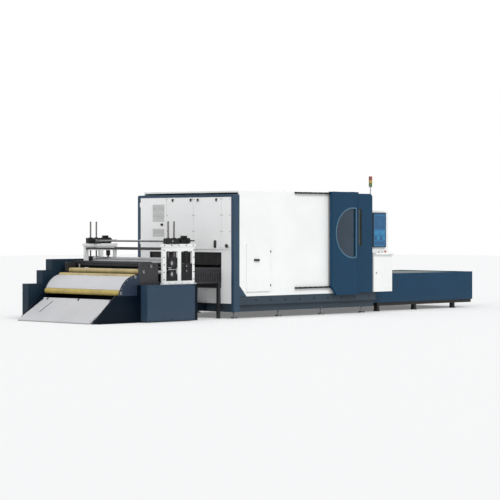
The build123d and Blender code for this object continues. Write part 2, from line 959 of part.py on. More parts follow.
def gantry():
    """Cross beam with the carriage's two rails, on trucks that ride the guide rails."""
    y0 = support_y - support_width / 2
    middle = gantry_x + gantry_width / 2
    truck = block(
        middle - gantry_truck_length / 2,
        middle + gantry_truck_length / 2,
        y0,
        y0 + support_width,
        truck_z0,
        beam_z0,
    )
    beam = block(gantry_x, gantry_x + gantry_width, y0, enclosure_width - y0, beam_z0, beam_z1)
    beam = fillet(beam.edges().filter_by(Axis.Y), slide_edge_r)
    for z in (beam_z0 + carriage_rail_width, beam_z1 - 2 * carriage_rail_width):
        beam += block(
            gantry_x + gantry_width,
            gantry_x + gantry_width + carriage_rail,
            y0,
            enclosure_width - y0,
            z,
            z + carriage_rail_width,
        )
    return beam + truck + mirrored(truck)


def carriage():
    """Cross carriage on the front face of the beam."""
    z1 = beam_z1 + gantry_truck_height
    block_y1 = carriage_y + carriage_width
    body = block(carriage_x0, carriage_x1, carriage_y, block_y1, z1 - carriage_height, z1)
    return fillet(body.edges().group_by(Axis.X)[-1], slide_edge_r)


def cutting_head():
    """Cutting head: stepped body that tapers to its nozzle."""
    z1 = tip_z + head_length
    taper_z = tip_z + nozzle_length
    taper_top = taper_z + head_r
    profile = outline(
        (0, tip_z),
        (nozzle_r / 2, tip_z),
        (nozzle_r, taper_z),
        (nozzle_holder_r, taper_z),
        (head_r, taper_top),
        (head_r, z1),
        (0, z1),
    )
    return Pos(head_x, head_y, 0) * revolve(Plane.XZ * profile, Axis.Z)


# Operator console

def console_cabinet():
    """Hung console: deep lower box, overhanging shelf and slim screen housing."""
    side = outline(
        (console_y0 + shelf_overhang, console_z0),
        (console_y0 + shelf_overhang, shelf_z - 2 * shelf_lip),
        (console_y0, shelf_z - shelf_lip),
        (console_y0, shelf_z),
        (monitor_y, shelf_z),
        (monitor_y, console_top_z),
        (console_y1, console_top_z),
        (console_y1, console_z0),
    )
    body = end_cut(side, console_x0, console_x1)
    crown = body.edges().filter_by(Axis.X).group_by(Axis.Z)[-1]
    body = fillet(crown, roof_corner_r)
    for x, y in (start_place, stop_place):
        body -= rod_z(x, y, button_r / 2 + running_fit, shelf_z - button_well, shelf_z)
    return body


def console_bracket():
    """Bracket that carries the console from the outfeed housing."""
    middle = (console_z0 + console_top_z) / 2
    bar = rectangle(0, console_y1, middle - bracket_height / 2, middle + bracket_height / 2)
    bar = fillet(bar.vertices(), roof_corner_r)
    return end_cut(bar, enclosure_length, console_x0)


def console_screen():
    """Upright touch screen in a raised bezel."""
    y0 = monitor_y - screen_depth
    bezel = block(screen_x0, screen_x1, y0, monitor_y, screen_z0, screen_z1)
    bezel = fillet(bezel.edges().filter_by(Axis.Y), screen_edge_r)
    margin = 2 * screen_edge_r
    glass = block(
        screen_x0 + margin,
        screen_x1 - margin,
        y0,
        y0 + screen_edge_r / 4,
        screen_z0 + margin,
        screen_z1 - margin,
    )
    return bezel - glass


def start_button():
    """Push button: round cap held off the shelf on a stem."""
    x, y = start_place
    cap_z = shelf_z + button_travel + contact_gap
    cap = rod_z(x, y, button_r, cap_z, cap_z + button_height)
    cap = chamfer(cap.edges().filter_by(GeomType.CIRCLE).group_by(Axis.Z)[-1], button_height / 6)
    stem_z = shelf_z - button_well + button_travel + contact_gap
    return cap + rod_z(x, y, button_r / 2, stem_z, cap_z)


def emergency_stop():
    """Mushroom button with a narrower neck under its cap."""
    cap_z = shelf_z + stop_travel + contact_gap
    neck_height = stop_height / 2
    neck = rod_z(stop_place[0], stop_place[1], stop_neck_r, cap_z, cap_z + neck_height)
    cap = rod_z(stop_place[0], stop_place[1], stop_r, cap_z + neck_height, cap_z + stop_height)
    cap = chamfer(cap.edges().group_by(Axis.Z)[-1], stop_height / 5)
    stem_z = shelf_z - button_well + stop_travel + contact_gap
    stem = rod_z(stop_place[0], stop_place[1], button_r / 2, stem_z, cap_z)
    return neck + cap + stem


def signal_pole():
    """Pole of the signal tower with its foot on the console."""
    foot = rod_z(tower_x, tower_y, lens_r, console_top_z, console_top_z + lens_cap)
    pole = rod_z(tower_x, tower_y, tower_pole_r, console_top_z, lens_z0)
    cap = rod_z(tower_x, tower_y, lens_r, lens_z0 - lens_cap, lens_z0)
    return foot + pole + cap


def signal_lens(index):
    """One coloured lens of the signal tower."""
    z0 = lens_z0 + index * lens_height
    lens = rod_z(tower_x, tower_y, lens_r, z0, z0 + lens_height)
    ends = lens.edges().filter_by(GeomType.CIRCLE)
    return chamfer(ends, lens_cap / 6)


# Outfeed conveyor

def conveyor_skirt():
    """Folded side skirts and end skirt with a turned-in top lip."""
    x0 = bed_end_x
    lip_y = conveyor_y0 + skirt_lip
    side = block(
        x0, conveyor_x1, conveyor_y0, conveyor_y0 + skirt_thickness, skirt_z0, conveyor_top_z
    )
    side += block(
        x0, conveyor_x1, conveyor_y0, lip_y, conveyor_top_z - skirt_thickness, conveyor_top_z
    )
    end = block(
        conveyor_x1 - skirt_thickness,
        conveyor_x1,
        conveyor_y0,
        conveyor_y1,
        skirt_z0,
        conveyor_top_z,
    )
    return side + mirrored(side) + end


def conveyor_belt():
    """Endless flat belt round the two end rollers."""
    middle_x = (tail_x + drive_x) / 2
    run = drive_x - tail_x
    inner_r = belt_roller_r + contact_gap
    outer = SlotCenterToCenter(run, 2 * (inner_r + belt_thickness))
    inner = SlotCenterToCenter(run, 2 * inner_r)
    loop = Pos(middle_x, belt_axis_z) * (outer - inner)
    return side_cut(loop, belt_y0, belt_y1)


def belt_roller(x):
    """Belt roller: drum on a through shaft."""
    drum = rod_y(x, belt_axis_z, belt_roller_r, belt_y0 - roller_end_gap, belt_y1 + roller_end_gap)
    shaft = rod_y(x, belt_axis_z, roller_shaft_r, frame_side_y, enclosure_width - frame_side_y)
    return drum + shaft


def conveyor_frame():
    """Side plates that carry the belt rollers and slider, on legs with foot pads."""
    x0 = tail_x - 2 * belt_roller_r
    x1 = conveyor_x1 - skirt_thickness
    y0 = frame_side_y
    z0 = belt_axis_z - 2 * belt_roller_r
    side = block(x0, x1, y0, y0 + end_plate, z0, belt_axis_z + belt_roller_r)
    for x in (tail_x, drive_x):
        side -= rod_y(x, belt_axis_z, roller_shaft_r + running_fit, y0, y0 + end_plate)
    side += block(
        conveyor_leg_x[0],
        x1,
        y0,
        y0 + subframe_width,
        skirt_z0 - subframe_height,
        skirt_z0,
    )
    for x in conveyor_leg_x:
        leg_y1 = y0 + end_plate + conveyor_leg
        side += block(x, x + conveyor_leg, y0, leg_y1, foot_pad_height, z0)
        side += rod_z(x + conveyor_leg / 2, (y0 + leg_y1) / 2, foot_pad_r, 0, foot_pad_height)
    frame = side + mirrored(side)
    for x in (conveyor_leg_x[0], x1 - subframe_width):
        frame += block(
            x, x + subframe_width, y0, enclosure_width - y0, skirt_z0 - subframe_height, skirt_z0
        )
    deck_z = belt_axis_z + belt_roller_r - belt_thickness
    frame += block(
        tail_x + 2 * belt_roller_r,
        drive_x - 2 * belt_roller_r,
        y0,
        enclosure_width - y0,
        deck_z - subframe_height / 2,
        deck_z,
    )
    return frame


# Infeed base, ramp and arc table

def infeed_base():
    """Welded base: two slant-ended cheeks, a stepped core and drilled floor flanges."""
    cheek_face = outline(
        (base_x0, 0),
        (cheek_top_x, cheek_top_z),
        (cheek_top_x + cheek, cheek_top_z + cheek),
        (core_low_x, cheek_top_z + cheek),
        (core_low_x, 0),
    )
    cheek_side = side_cut(cheek_face, base_y0, base_y0 + cheek)
    core = block(core_x0, core_low_x, base_y0 + cheek, base_y1 - cheek, 0, core_low_z)
    pedestal_y1 = enclosure_width - feeder_base_y0
    pedestal = block(core_low_x, base_x1, feeder_base_y0, pedestal_y1, 0, base_top_z)
    link = block(base_x1, wall, link_y0, enclosure_width - link_y0, link_z0, link_z1)
    body = core + pedestal + link + cheek_side + mirrored(cheek_side)
    rear_flange = block(
        base_x0 + flange_width,
        core_low_x,
        base_y1,
        base_y1 + flange_width,
        0,
        flange_height,
    )
    for x in (anchor_x0, anchor_x1):
        rear_flange -= rod_z(x, base_y1 + flange_width / 2, anchor_r, 0, flange_height)
    return body + rear_flange + mirrored(rear_flange)


def infeed_front_cover():
    """Lighter sheet cover that stands out in front of the base, open to the floor behind."""
    outer = block(cover_x0, cover_x1, cover_y0, feeder_base_y0, cover_z0, base_top_z)
    inner = block(
        cover_x0 + cover_panel,
        cover_x1 - cover_panel,
        cover_y0 + cover_panel,
        feeder_base_y0,
        cover_z0,
        base_top_z - cover_panel,
    )
    outer = fillet(outer.edges().filter_by(Axis.Z).group_by(Axis.Y)[0], 2 * cover_panel)
    return outer - inner


def ramp_plate():
    """Threading ramp: plate with a long slot, hinge eyes and a curved toe."""
    plate = block(0, ramp_length, ramp_y0, ramp_y1, -ramp_thickness / 2, ramp_thickness / 2)
    toe = plate.edges().filter_by(Axis.Y).group_by(Axis.X)[-1]
    plate = fillet(toe, ramp_thickness / 3)
    length = (ramp_slot_end - ramp_slot_start) * ramp_length
    middle = (ramp_slot_end + ramp_slot_start) / 2 * ramp_length
    slot = Pos(middle, ramp_y1 - ramp_slot_inset) * SlotOverall(length, ramp_slot_width)
    plate -= extrude(slot, amount=ramp_thickness, both=True)
    bore = rod_y(0, 0, ramp_hinge_r + running_fit, ramp_y0, ramp_y1)
    eye = rod_y(0, 0, 2 * ramp_hinge_r, ramp_y0, ramp_y1)
    plate = plate + eye - bore
    for y in lug_places:
        gap = lug_width / 2 + lug_gap
        plate -= block(-hinge_room, hinge_room, y - gap, y + gap, -hinge_room, hinge_room)
    return Pos(hinge_x, 0, hinge_z) * Rot(0, ramp_turn, 0) * plate


def ramp_hinge():
    """Hinge pin of the ramp in three lugs that stand on the base."""
    pin = rod_y(hinge_x, hinge_z, ramp_hinge_r, base_y0 + cheek, base_y1 - cheek)
    for y in lug_places:
        y0 = y - lug_width / 2
        face = outline(
            (hinge_x - ramp_hinge_r, hinge_z - ramp_hinge_r),
            (hinge_x - ramp_hinge_r, hinge_z + ramp_hinge_r),
            (hinge_x + ramp_hinge_r, hinge_z + ramp_hinge_r),
            (core_x0 + hinge_room, core_low_z),
            (core_x0, core_low_z),
        )
        pin += side_cut(face, y0, y0 + lug_width)
    return pin


def arc_point(radius, degrees):
    """Point on a circle about the arc table's centre."""
    return (
        arc_centre_x + radius * cos(radians(degrees)),
        arc_centre_z + radius * sin(radians(degrees)),
    )


def roller_places():
    """Axes of the three strip rollers, from the lowest up."""
    return (
        arc_point(roller_pitch_r, lower_roller_angle),
        arc_point(roller_pitch_r, upper_roller_angle),
        (top_roller_x, top_roller_z),
    )


def arc_side_plates():
    """Quarter-round side plates that carry the arc table and its two rollers."""
    low = arc_point(arc_r, arc_foot_angle)
    middle = arc_point(arc_r, (arc_foot_angle + 90) / 2)
    high = arc_point(arc_r, 90)
    lines = Line((core_low_x, arc_foot_z), low)
    lines += ThreePointArc(low, middle, high)
    lines += Line(high, (arc_flat_x, high[1]))
    lines += Line((arc_flat_x, high[1]), (arc_flat_x, base_top_z))
    lines += Line((arc_flat_x, base_top_z), (core_low_x, base_top_z))
    lines += Line((core_low_x, base_top_z), (core_low_x, arc_foot_z))
    plate = side_cut(make_face(lines), base_y0, base_y0 + arc_plate)
    for x, z in roller_places()[:2]:
        plate -= rod_y(x, z, roller_journal_r + running_fit, base_y0, base_y0 + arc_plate)
    return both_sides(plate)


def arc_apron():
    """Curved sheet that guides the strip between the two arc rollers."""
    outer = []
    for radius in (apron_r, apron_r - apron_thickness):
        outer.append(ThreePointArc(
            arc_point(radius, apron_start_angle),
            arc_point(radius, (apron_start_angle + apron_end_angle) / 2),
            arc_point(radius, apron_end_angle),
        ))
    face = make_face(
        outer[0] + outer[1]
        + Line(outer[0] @ 0, outer[1] @ 0)
        + Line(outer[0] @ 1, outer[1] @ 1)
    )
    sheet = side_cut(face, table_y0, table_y1)
    for x, z in roller_places()[:2]:
        sheet -= rod_y(x, z, roller_r + 2 * side_gap, table_y0, table_y1)
    return group([max(sheet.solids(), key=lambda solid: solid.volume)])


def strip_roller(index):
    """Strip roller: drum with chamfered ends on a through journal."""
    x, z = roller_places()[index]
    outer = base_y0 if index < 2 else entry_y0
    gap = roller_end_gap + (arc_plate if index < 2 else entry_frame_plate)
    drum = rod_y(x, z, roller_r, outer + gap, enclosure_width - outer - gap)
    drum = chamfer(drum.edges().filter_by(GeomType.CIRCLE), roller_r / 12)
    return drum + rod_y(x, z, roller_journal_r, outer, enclosure_width - outer)


# Entry guide

def entry_frames():
    """Dark side frames of the entry guide, with bearing holes for two rollers."""
    face = rectangle(entry_frame_x0, entry_frame_x1, base_top_z, entry_frame_top_z)
    face = fillet(face.vertices().group_by(Axis.Y)[-1], entry_frame_corner_r)
    y1 = entry_y0 + entry_frame_plate
    plate = side_cut(face, entry_y0, y1)
    plate -= rod_y(top_roller_x, top_roller_z, roller_journal_r + running_fit, entry_y0, y1)
    plate -= rod_y(holddown_x, holddown_z, roller_journal_r + running_fit, entry_y0, y1)
    return both_sides(plate)


def entry_bars():
    """Cross bars of the entry guide: the guide slide below and the stiffener above."""
    y0 = entry_y0 + entry_frame_plate
    y1 = enclosure_width - y0
    slide_x = guide_bar_x - guide_bar / 2
    low = block(slide_x, slide_x + guide_bar, y0, y1, guide_bar_z0, guide_bar_z1)
    top_x = holddown_x - holddown_bar / 2
    top = block(
        top_x,
        top_x + holddown_bar,
        y0,
        y1,
        entry_frame_top_z - holddown_bar / 2,
        entry_frame_top_z + holddown_bar / 2,
    )
    ends = block(
        top_x, top_x + holddown_bar, entry_y0, y0, entry_frame_top_z,
        entry_frame_top_z + holddown_bar / 2
    )
    return group([low, top + ends + mirrored(ends)])


def holddown_roller():
    """Hold-down roller over the strip."""
    gap = entry_frame_plate + roller_end_gap
    x = holddown_x
    drum = rod_y(x, holddown_z, holddown_r, entry_y0 + gap, entry_y1 - gap)
    return drum + rod_y(x, holddown_z, roller_journal_r, entry_y0, entry_y1)


def edge_guide():
    """Edge guide on the operator side: saddle on the slide bar and an upright roller."""
    x0 = guide_bar_x - guide_block / 2
    y0 = guide_rest_y
    saddle = block(
        x0,
        x0 + guide_block,
        y0,
        y0 + guide_block,
        guide_bar_z0 - guide_bar / 2,
        pass_line_z - guide_bar / 3,
    )
    slot = guide_bar / 2 + side_gap / 2
    saddle -= block(
        guide_bar_x - slot,
        guide_bar_x + slot,
        y0,
        y0 + guide_block,
        guide_bar_z0 - side_gap / 2,
        guide_bar_z1 + side_gap / 2,
    )
    roller_z0 = pass_line_z - guide_bar / 3
    roller = rod_z(
        guide_bar_x, y0 + guide_block / 2, guide_roller_r, roller_z0, roller_z0 + guide_roller_height
    )
    collar = rod_z(
        guide_bar_x,
        y0 + guide_block / 2,
        guide_collar_r,
        roller_z0 + guide_roller_height,
        roller_z0 + guide_roller_height + guide_collar_height,
    )
    return saddle + roller + collar


# Servo roll feeder

def feeder_frame():
    """Window frame of the feeder: two windows between three posts, on a foot flange."""
    face = rectangle(frame_x0, frame_x1, base_top_z, frame_top_z)
    feed = rectangle(feed_window_x0, feed_window_x1, window_floor, window_top)
    feed = fillet(feed.vertices().group_by(Axis.Y)[-1], feed_window_r)
    exit_hole = rectangle(exit_window_x0, exit_window_x1, window_floor, window_top)
    exit_hole = fillet(exit_hole.vertices().group_by(Axis.Y)[-1], feed_window_r)
    plate = side_cut(face - feed - exit_hole, frame_y0, frame_y1)
    crown = frame_flange_width / 4
    flange = block(
        frame_x0 - crown,
        frame_x1 + crown,
        frame_y0 - crown,
        frame_y1,
        base_top_z,
        base_top_z + frame_flange,
    )
    cap = block(
        frame_x0 - crown,
        frame_x1 + crown / 2,
        frame_y0 - crown / 2,
        frame_y1 + crown / 2,
        frame_top_z - frame_top_bar,
        frame_top_z,
    )
    for x in spindle_xs:
        hole_r = spindle_r + spindle_hole_gap
        middle = (frame_y0 + frame_y1) / 2
        cap -= rod_z(x, middle, hole_r, window_top, frame_top_z)
        plate -= rod_z(x, middle, hole_r, window_top - seam_gap, frame_top_z)
    return plate + flange + cap


def fixed_bearings():
    """Lower bearing housings of both roll pairs and the exit pair's adjuster blocks."""
    pieces = []
    y1 = frame_y1
    chock = block(
        feed_window_x0, feed_window_x1, frame_y0, y1, window_floor, lower_roll_z
    ) + rod_y(feed_x, lower_roll_z, bearing_r, frame_y0, y1)
    chock = chock - rod_y(feed_x, lower_roll_z, feed_journal_r + running_fit, frame_y0, y1)
    lower_top = lower_roll_z + bearing_r
    pieces.append(chock & block(
        feed_window_x0, feed_window_x1, frame_y0, y1, window_floor, lower_top
    ))
    half = exit_roll_r - contact_gap
    for z, low in ((lower_exit_z, window_floor), (upper_exit_z, upper_exit_z - half)):
        housing = block(exit_window_x0, exit_window_x1, frame_y0, y1, low, z + half)
        pieces.append(
            housing - rod_y(exit_x, z, exit_journal_r + running_fit, frame_y0, y1)
        )
    half = adjuster_size / 2
    pieces.append(block(
        exit_x - half, exit_x + half, frame_y0, y1, adjuster_z - half, window_top
    ))
    pieces.append(block(
        exit_x - half / 2, exit_x + half / 2, frame_y0 + half / 3, y1 - half / 3,
        upper_exit_z + exit_roll_r - contact_gap, adjuster_z - half
    ))
    return both_sides(group(pieces))


def upper_chock():
    """Sliding bearing block of the upper feed roll, guided by the window's posts."""
    half = chock_height / 2
    x0 = feed_window_x0 + side_gap
    x1 = feed_window_x1 - side_gap
    face = rectangle(x0, x1, upper_roll_z - bearing_r, upper_roll_z + half)
    face = chamfer(face.vertices().group_by(Axis.Y)[-1], feed_window_r)
    body = side_cut(face, frame_y0, frame_y1)
    return body - rod_y(feed_x, upper_roll_z, feed_journal_r + running_fit, frame_y0, frame_y1)


def lift_spindles():
    """Four lifting spindles that rise through the jacks."""
    y = (frame_y0 + frame_y1) / 2
    z0 = upper_roll_z + chock_height / 2
    spindles = []
    for x in spindle_xs:
        spindle = rod_z(x, y, spindle_r, z0, spindle_top_z)
        spindle = chamfer(spindle.edges().filter_by(GeomType.CIRCLE).group_by(Axis.Z)[-1], spindle_chamfer)
        spindles += [spindle, mirrored(spindle)]
    return group(spindles)


def feed_roll(z):
    """Knurled feed roll: drum between shoulders on two journals."""
    drum = rod_y(feed_x, z, feed_roll_r, roll_y0, roll_y1)
    drum = chamfer(drum.edges().filter_by(GeomType.CIRCLE), feed_roll_r / 20)
    return drum + rod_y(feed_x, z, feed_journal_r, frame_y0, enclosure_width - frame_y0)


def exit_roll(z):
    """Small exit roll on two journals."""
    drum = rod_y(exit_x, z, exit_roll_r, roll_y0, roll_y1)
    return drum + rod_y(exit_x, z, exit_journal_r, frame_y0, enclosure_width - frame_y0)


def screw_jack():
    """Worm-gear jack housing over the feed window, bored for spindles and cross shaft."""
    y = (frame_y0 + frame_y1) / 2
    x0 = feed_x - jack_length / 2
    half = jack_width / 2
    body = block(x0, x0 + jack_length, y - half, y + half, frame_top_z, jack_z1)
    body = fillet(body.edges().filter_by(Axis.Z), jack_edge_r)
    for x in spindle_xs:
        body += rod_z(x, y, jack_collar_r, jack_z1, jack_z1 + jack_edge_r)
        body -= rod_z(x, y, spindle_r + spindle_hole_gap, frame_top_z, jack_z1 + jack_edge_r)
    return body - rod_y(feed_x, cross_shaft_z, cross_shaft_r + running_fit, y - half, y + half)


def cross_shaft():
    """Shaft that turns both jack pairs together."""
    y0 = (frame_y0 + frame_y1 - jack_width) / 2
    shaft = rod_y(feed_x, cross_shaft_z, cross_shaft_r, y0, enclosure_width - y0)
    coupling_y = y0 + jack_width + contact_gap
    coupling = rod_y(
        feed_x, cross_shaft_z, coupling_r, coupling_y, coupling_y + coupling_length
    )
    return shaft + coupling + mirrored(coupling)


def lift_motor():
    """Finned gearmotor beside the jack, with its neck and hand-turning tail."""
    y = (frame_y0 + frame_y1) / 2
    z = frame_top_z + motor_r
    x0 = feed_x + jack_length / 2
    x1 = x0 + motor_length
    neck = motor_length / 5
    body = rod_x(y, z, motor_r - motor_fin, x0 + neck, x1)
    body = chamfer(body.edges().filter_by(GeomType.CIRCLE).group_by(Axis.X)[-1], motor_r / 5)
    body += rod_x(y, z, motor_neck_r, x0, x0 + neck)
    body += rod_x(y, z, motor_tail_r, x1, x1 + motor_tail)
    room = x1 - x0 - 2 * neck
    for index in range(motor_fin_count):
        x = x0 + neck + index * room / (motor_fin_count - 1)
        body += rod_x(y, z, motor_r, x, x + motor_fin)
    foot = block(x0 + neck, x1 - neck / 2, y - motor_r / 2, y + motor_r / 2, frame_top_z, z)
    return body + foot


def feeder_ties():
    """Square cross ties between the two feeder frames."""
    ties = []
    for x in (frame_x0 + left_post / 2, frame_x1 - right_post / 2):
        x0 = x - tie_bar / 2
        z0 = tie_z - tie_bar / 2
        ties.append(block(
            x0, x0 + tie_bar, frame_y1, enclosure_width - frame_y1, z0, z0 + tie_bar
        ))
    return group(ties)


def drive_housing():
    """Stepped navy housing along the rear side, over the roll drive."""
    face = outline(
        (low_step_x0, 0),
        (low_step_x0, low_step_top_z),
        (step_x0, low_step_top_z),
        (step_x0, step_top_z),
        (housing_x0, step_top_z),
        (housing_x0, housing_top_z),
        (base_x1, housing_top_z),
        (base_x1, 0),
    )
    face = fillet(face.vertices().group_by(Axis.Y)[-1], housing_corner_r)
    return side_cut(face, housing_y0, enclosure_width)


# The nodes, in the order of the strip's way through the line

def build():
    """Every node by name."""
    return {
        "infeed_base": infeed_base() + ramp_hinge(),
        "infeed_front_cover": infeed_front_cover(),
        "drive_housing": drive_housing(),
        "ramp_plate": ramp_plate(),
        "arc_side_plates": arc_side_plates(),
        "arc_apron": arc_apron(),
        "lower_strip_roller": strip_roller(0),
        "upper_strip_roller": strip_roller(1),
        "top_strip_roller": strip_roller(2),
        "entry_frames": group([entry_frames(), entry_bars()]),
        "holddown_roller": holddown_roller(),
        "front_edge_guide": edge_guide(),
        "rear_edge_guide": mirrored(edge_guide()),
        "feeder_frames": both_sides(feeder_frame()),
        "feeder_ties": feeder_ties(),
        "fixed_bearings": fixed_bearings(),
        "upper_chocks": both_sides(upper_chock()),
        "lift_spindles": lift_spindles(),
        "lower_feed_roll": feed_roll(lower_roll_z),
        "upper_feed_roll": feed_roll(upper_roll_z),
        "lower_exit_roll": exit_roll(lower_exit_z),
        "upper_exit_roll": exit_roll(upper_exit_z),
        "lift_drives": both_sides(screw_jack() + lift_motor()),
        "cross_shaft": cross_shaft(),
        "bed": bed(),
        "levelling_feet": levelling_feet(),
        "inlet_portal": inlet_portal(),
        "end_wall": end_wall(),
        "transfer_table": inlet_sill() + transfer_table(),
        "service_panels": service_panels(),
        "panel_handles": group([panel_hooks(), panel_grips()]),
        "cabinet_door": cabinet_door(),
        "cabinet_latch": cabinet_latch(),
        "front_wall": front_wall(),
        "access_door": access_door(),
        "access_handle": access_handle(),
        "door_rails": group([door_rails(), access_hinges()]),
        "sliding_door": sliding_door(),
        "door_window": door_window(),
        "window_trim": window_trim(),
        "outlet_portal": outlet_portal(),
        "strip_window": strip_window(),
        "roof": roof(),
        "rear_wall": rear_wall() + dust_collar(),
        "slat_bed": slat_bed(),
        "gantry_supports": gantry_supports(),
        "gantry": gantry(),
        "carriage": carriage(),
        "cutting_head": cutting_head(),
        "console_cabinet": console_cabinet() + console_bracket(),
        "console_screen": console_screen(),
        "start_button": start_button(),
        "emergency_stop": emergency_stop(),
        "signal_pole": signal_pole(),
        "signal_lenses": group([signal_lens(index) for index in range(lens_count)]),
        "conveyor_skirt": conveyor_skirt(),
        "conveyor_belt": conveyor_belt(),
        "conveyor_frame": conveyor_frame(),
        "tail_roller": belt_roller(tail_x),
        "drive_roller": belt_roller(drive_x),
    }


def placed(nodes):
    """Nodes moved so that the origin is the bottom centre of their common box."""
    box = Compound(list(nodes.values())).bounding_box()
    shift = Vector(-box.center().X, -box.center().Y, -box.min.Z)
    return {name: Pos(shift) * solid for name, solid in nodes.items()}, shift


if __name__ == "__main__":
    os.makedirs("parts", exist_ok=True)
    nodes, shift = placed(build())
    for name, solid in nodes.items():
        export_step(solid, f"parts/{name}.step")
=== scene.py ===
"""Looks of a coil-fed laser cutting machine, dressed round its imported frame."""

import json
import logging
import math
from collections.abc import Callable, Iterable, Iterator
from dataclasses import dataclass, replace
from enum import Enum
from functools import cache
from itertools import product
from typing import Self

import bmesh
import bpy
from mathutils import Matrix, Vector

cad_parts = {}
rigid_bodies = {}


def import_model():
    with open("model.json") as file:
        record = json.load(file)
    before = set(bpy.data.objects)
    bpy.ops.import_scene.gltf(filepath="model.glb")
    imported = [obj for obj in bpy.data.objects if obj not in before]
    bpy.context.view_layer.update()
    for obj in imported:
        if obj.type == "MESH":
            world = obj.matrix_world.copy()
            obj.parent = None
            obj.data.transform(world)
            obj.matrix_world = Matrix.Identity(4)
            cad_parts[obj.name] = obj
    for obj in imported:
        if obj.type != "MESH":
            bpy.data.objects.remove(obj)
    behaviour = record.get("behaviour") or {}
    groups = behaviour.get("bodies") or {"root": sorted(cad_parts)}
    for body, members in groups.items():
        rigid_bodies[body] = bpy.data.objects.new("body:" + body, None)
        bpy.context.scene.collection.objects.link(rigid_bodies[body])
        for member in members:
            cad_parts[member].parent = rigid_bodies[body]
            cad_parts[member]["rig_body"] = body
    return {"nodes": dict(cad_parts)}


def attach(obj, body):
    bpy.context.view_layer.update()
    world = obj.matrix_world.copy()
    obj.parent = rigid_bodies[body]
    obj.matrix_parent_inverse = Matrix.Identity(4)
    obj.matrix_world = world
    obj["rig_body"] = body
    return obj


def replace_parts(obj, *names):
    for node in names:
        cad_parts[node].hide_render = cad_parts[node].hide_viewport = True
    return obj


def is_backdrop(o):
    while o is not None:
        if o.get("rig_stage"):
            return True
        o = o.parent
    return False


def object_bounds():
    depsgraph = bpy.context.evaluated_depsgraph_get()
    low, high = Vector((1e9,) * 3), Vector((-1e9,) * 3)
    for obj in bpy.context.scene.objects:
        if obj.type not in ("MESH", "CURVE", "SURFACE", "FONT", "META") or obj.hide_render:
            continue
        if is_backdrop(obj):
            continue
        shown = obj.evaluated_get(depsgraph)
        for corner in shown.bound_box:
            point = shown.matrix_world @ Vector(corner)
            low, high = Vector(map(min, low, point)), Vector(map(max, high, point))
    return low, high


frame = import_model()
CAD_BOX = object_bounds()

log = logging.getLogger("laser_line")
Colour = tuple[float, float, float]
Point = tuple[float, float, float]
Values = float | Iterable[float]
Socket = bpy.types.NodeSocket

UP: Point = (0.0, 0.0, 1.0)
AHEAD: Point = (1.0, 0.0, 0.0)
BACK: Point = (-1.0, 0.0, 0.0)
NEAR: Point = (0.0, -1.0, 0.0)
FAR: Point = (0.0, 1.0, 0.0)
SHARP_DEGREES = 32.0


class Axis(Enum):
    """Direction of a grain, a row or a shaft."""

    X = (1.0, 0.0, 0.0)
    Y = (0.0, 1.0, 0.0)
    Z = (0.0, 0.0, 1.0)


def linear(colour: Colour) -> tuple[float, ...]:
    """Scene-linear colour of a display colour, with an alpha of 1."""
    low = 0.04045
    return (*(c / 12.92 if c <= low else ((c + 0.055) / 1.055) ** 2.4 for c in colour), 1.0)


def shaded(colour: Colour, factor: float) -> Colour:
    """A lighter or darker version of a colour."""
    return tuple(min(1.0, c * factor) for c in colour)


class Graph:
    """A node tree with a short call that adds and wires a node."""

    def __init__(self, tree: bpy.types.NodeTree) -> None:
        """Takes over a tree.

        Args:
            tree: The node tree.
        """
        self.nodes, self.link = tree.nodes, tree.links.new

    def feed(self, target: Socket, value: object) -> None:
        """Links a socket to an input, or sets the input's value."""
        if isinstance(value, Socket):
            self.link(value, target)
        else:
            target.default_value = value

    def add(
        self, kind: str, inputs: dict[str | int, object] | None = None, **settings: object
    ) -> bpy.types.Node:
        """Adds a node.

        Args:
            kind: The node's type.
            inputs: Values or sockets, by the input's name or number.
            settings: Properties of the node itself.

        Returns:
            The node.
        """
        node = self.nodes.new(kind)
        for name, value in settings.items():
            setattr(node, name, value)
        for key, value in (inputs or {}).items():
            self.feed(node.inputs[key], value)
        return node


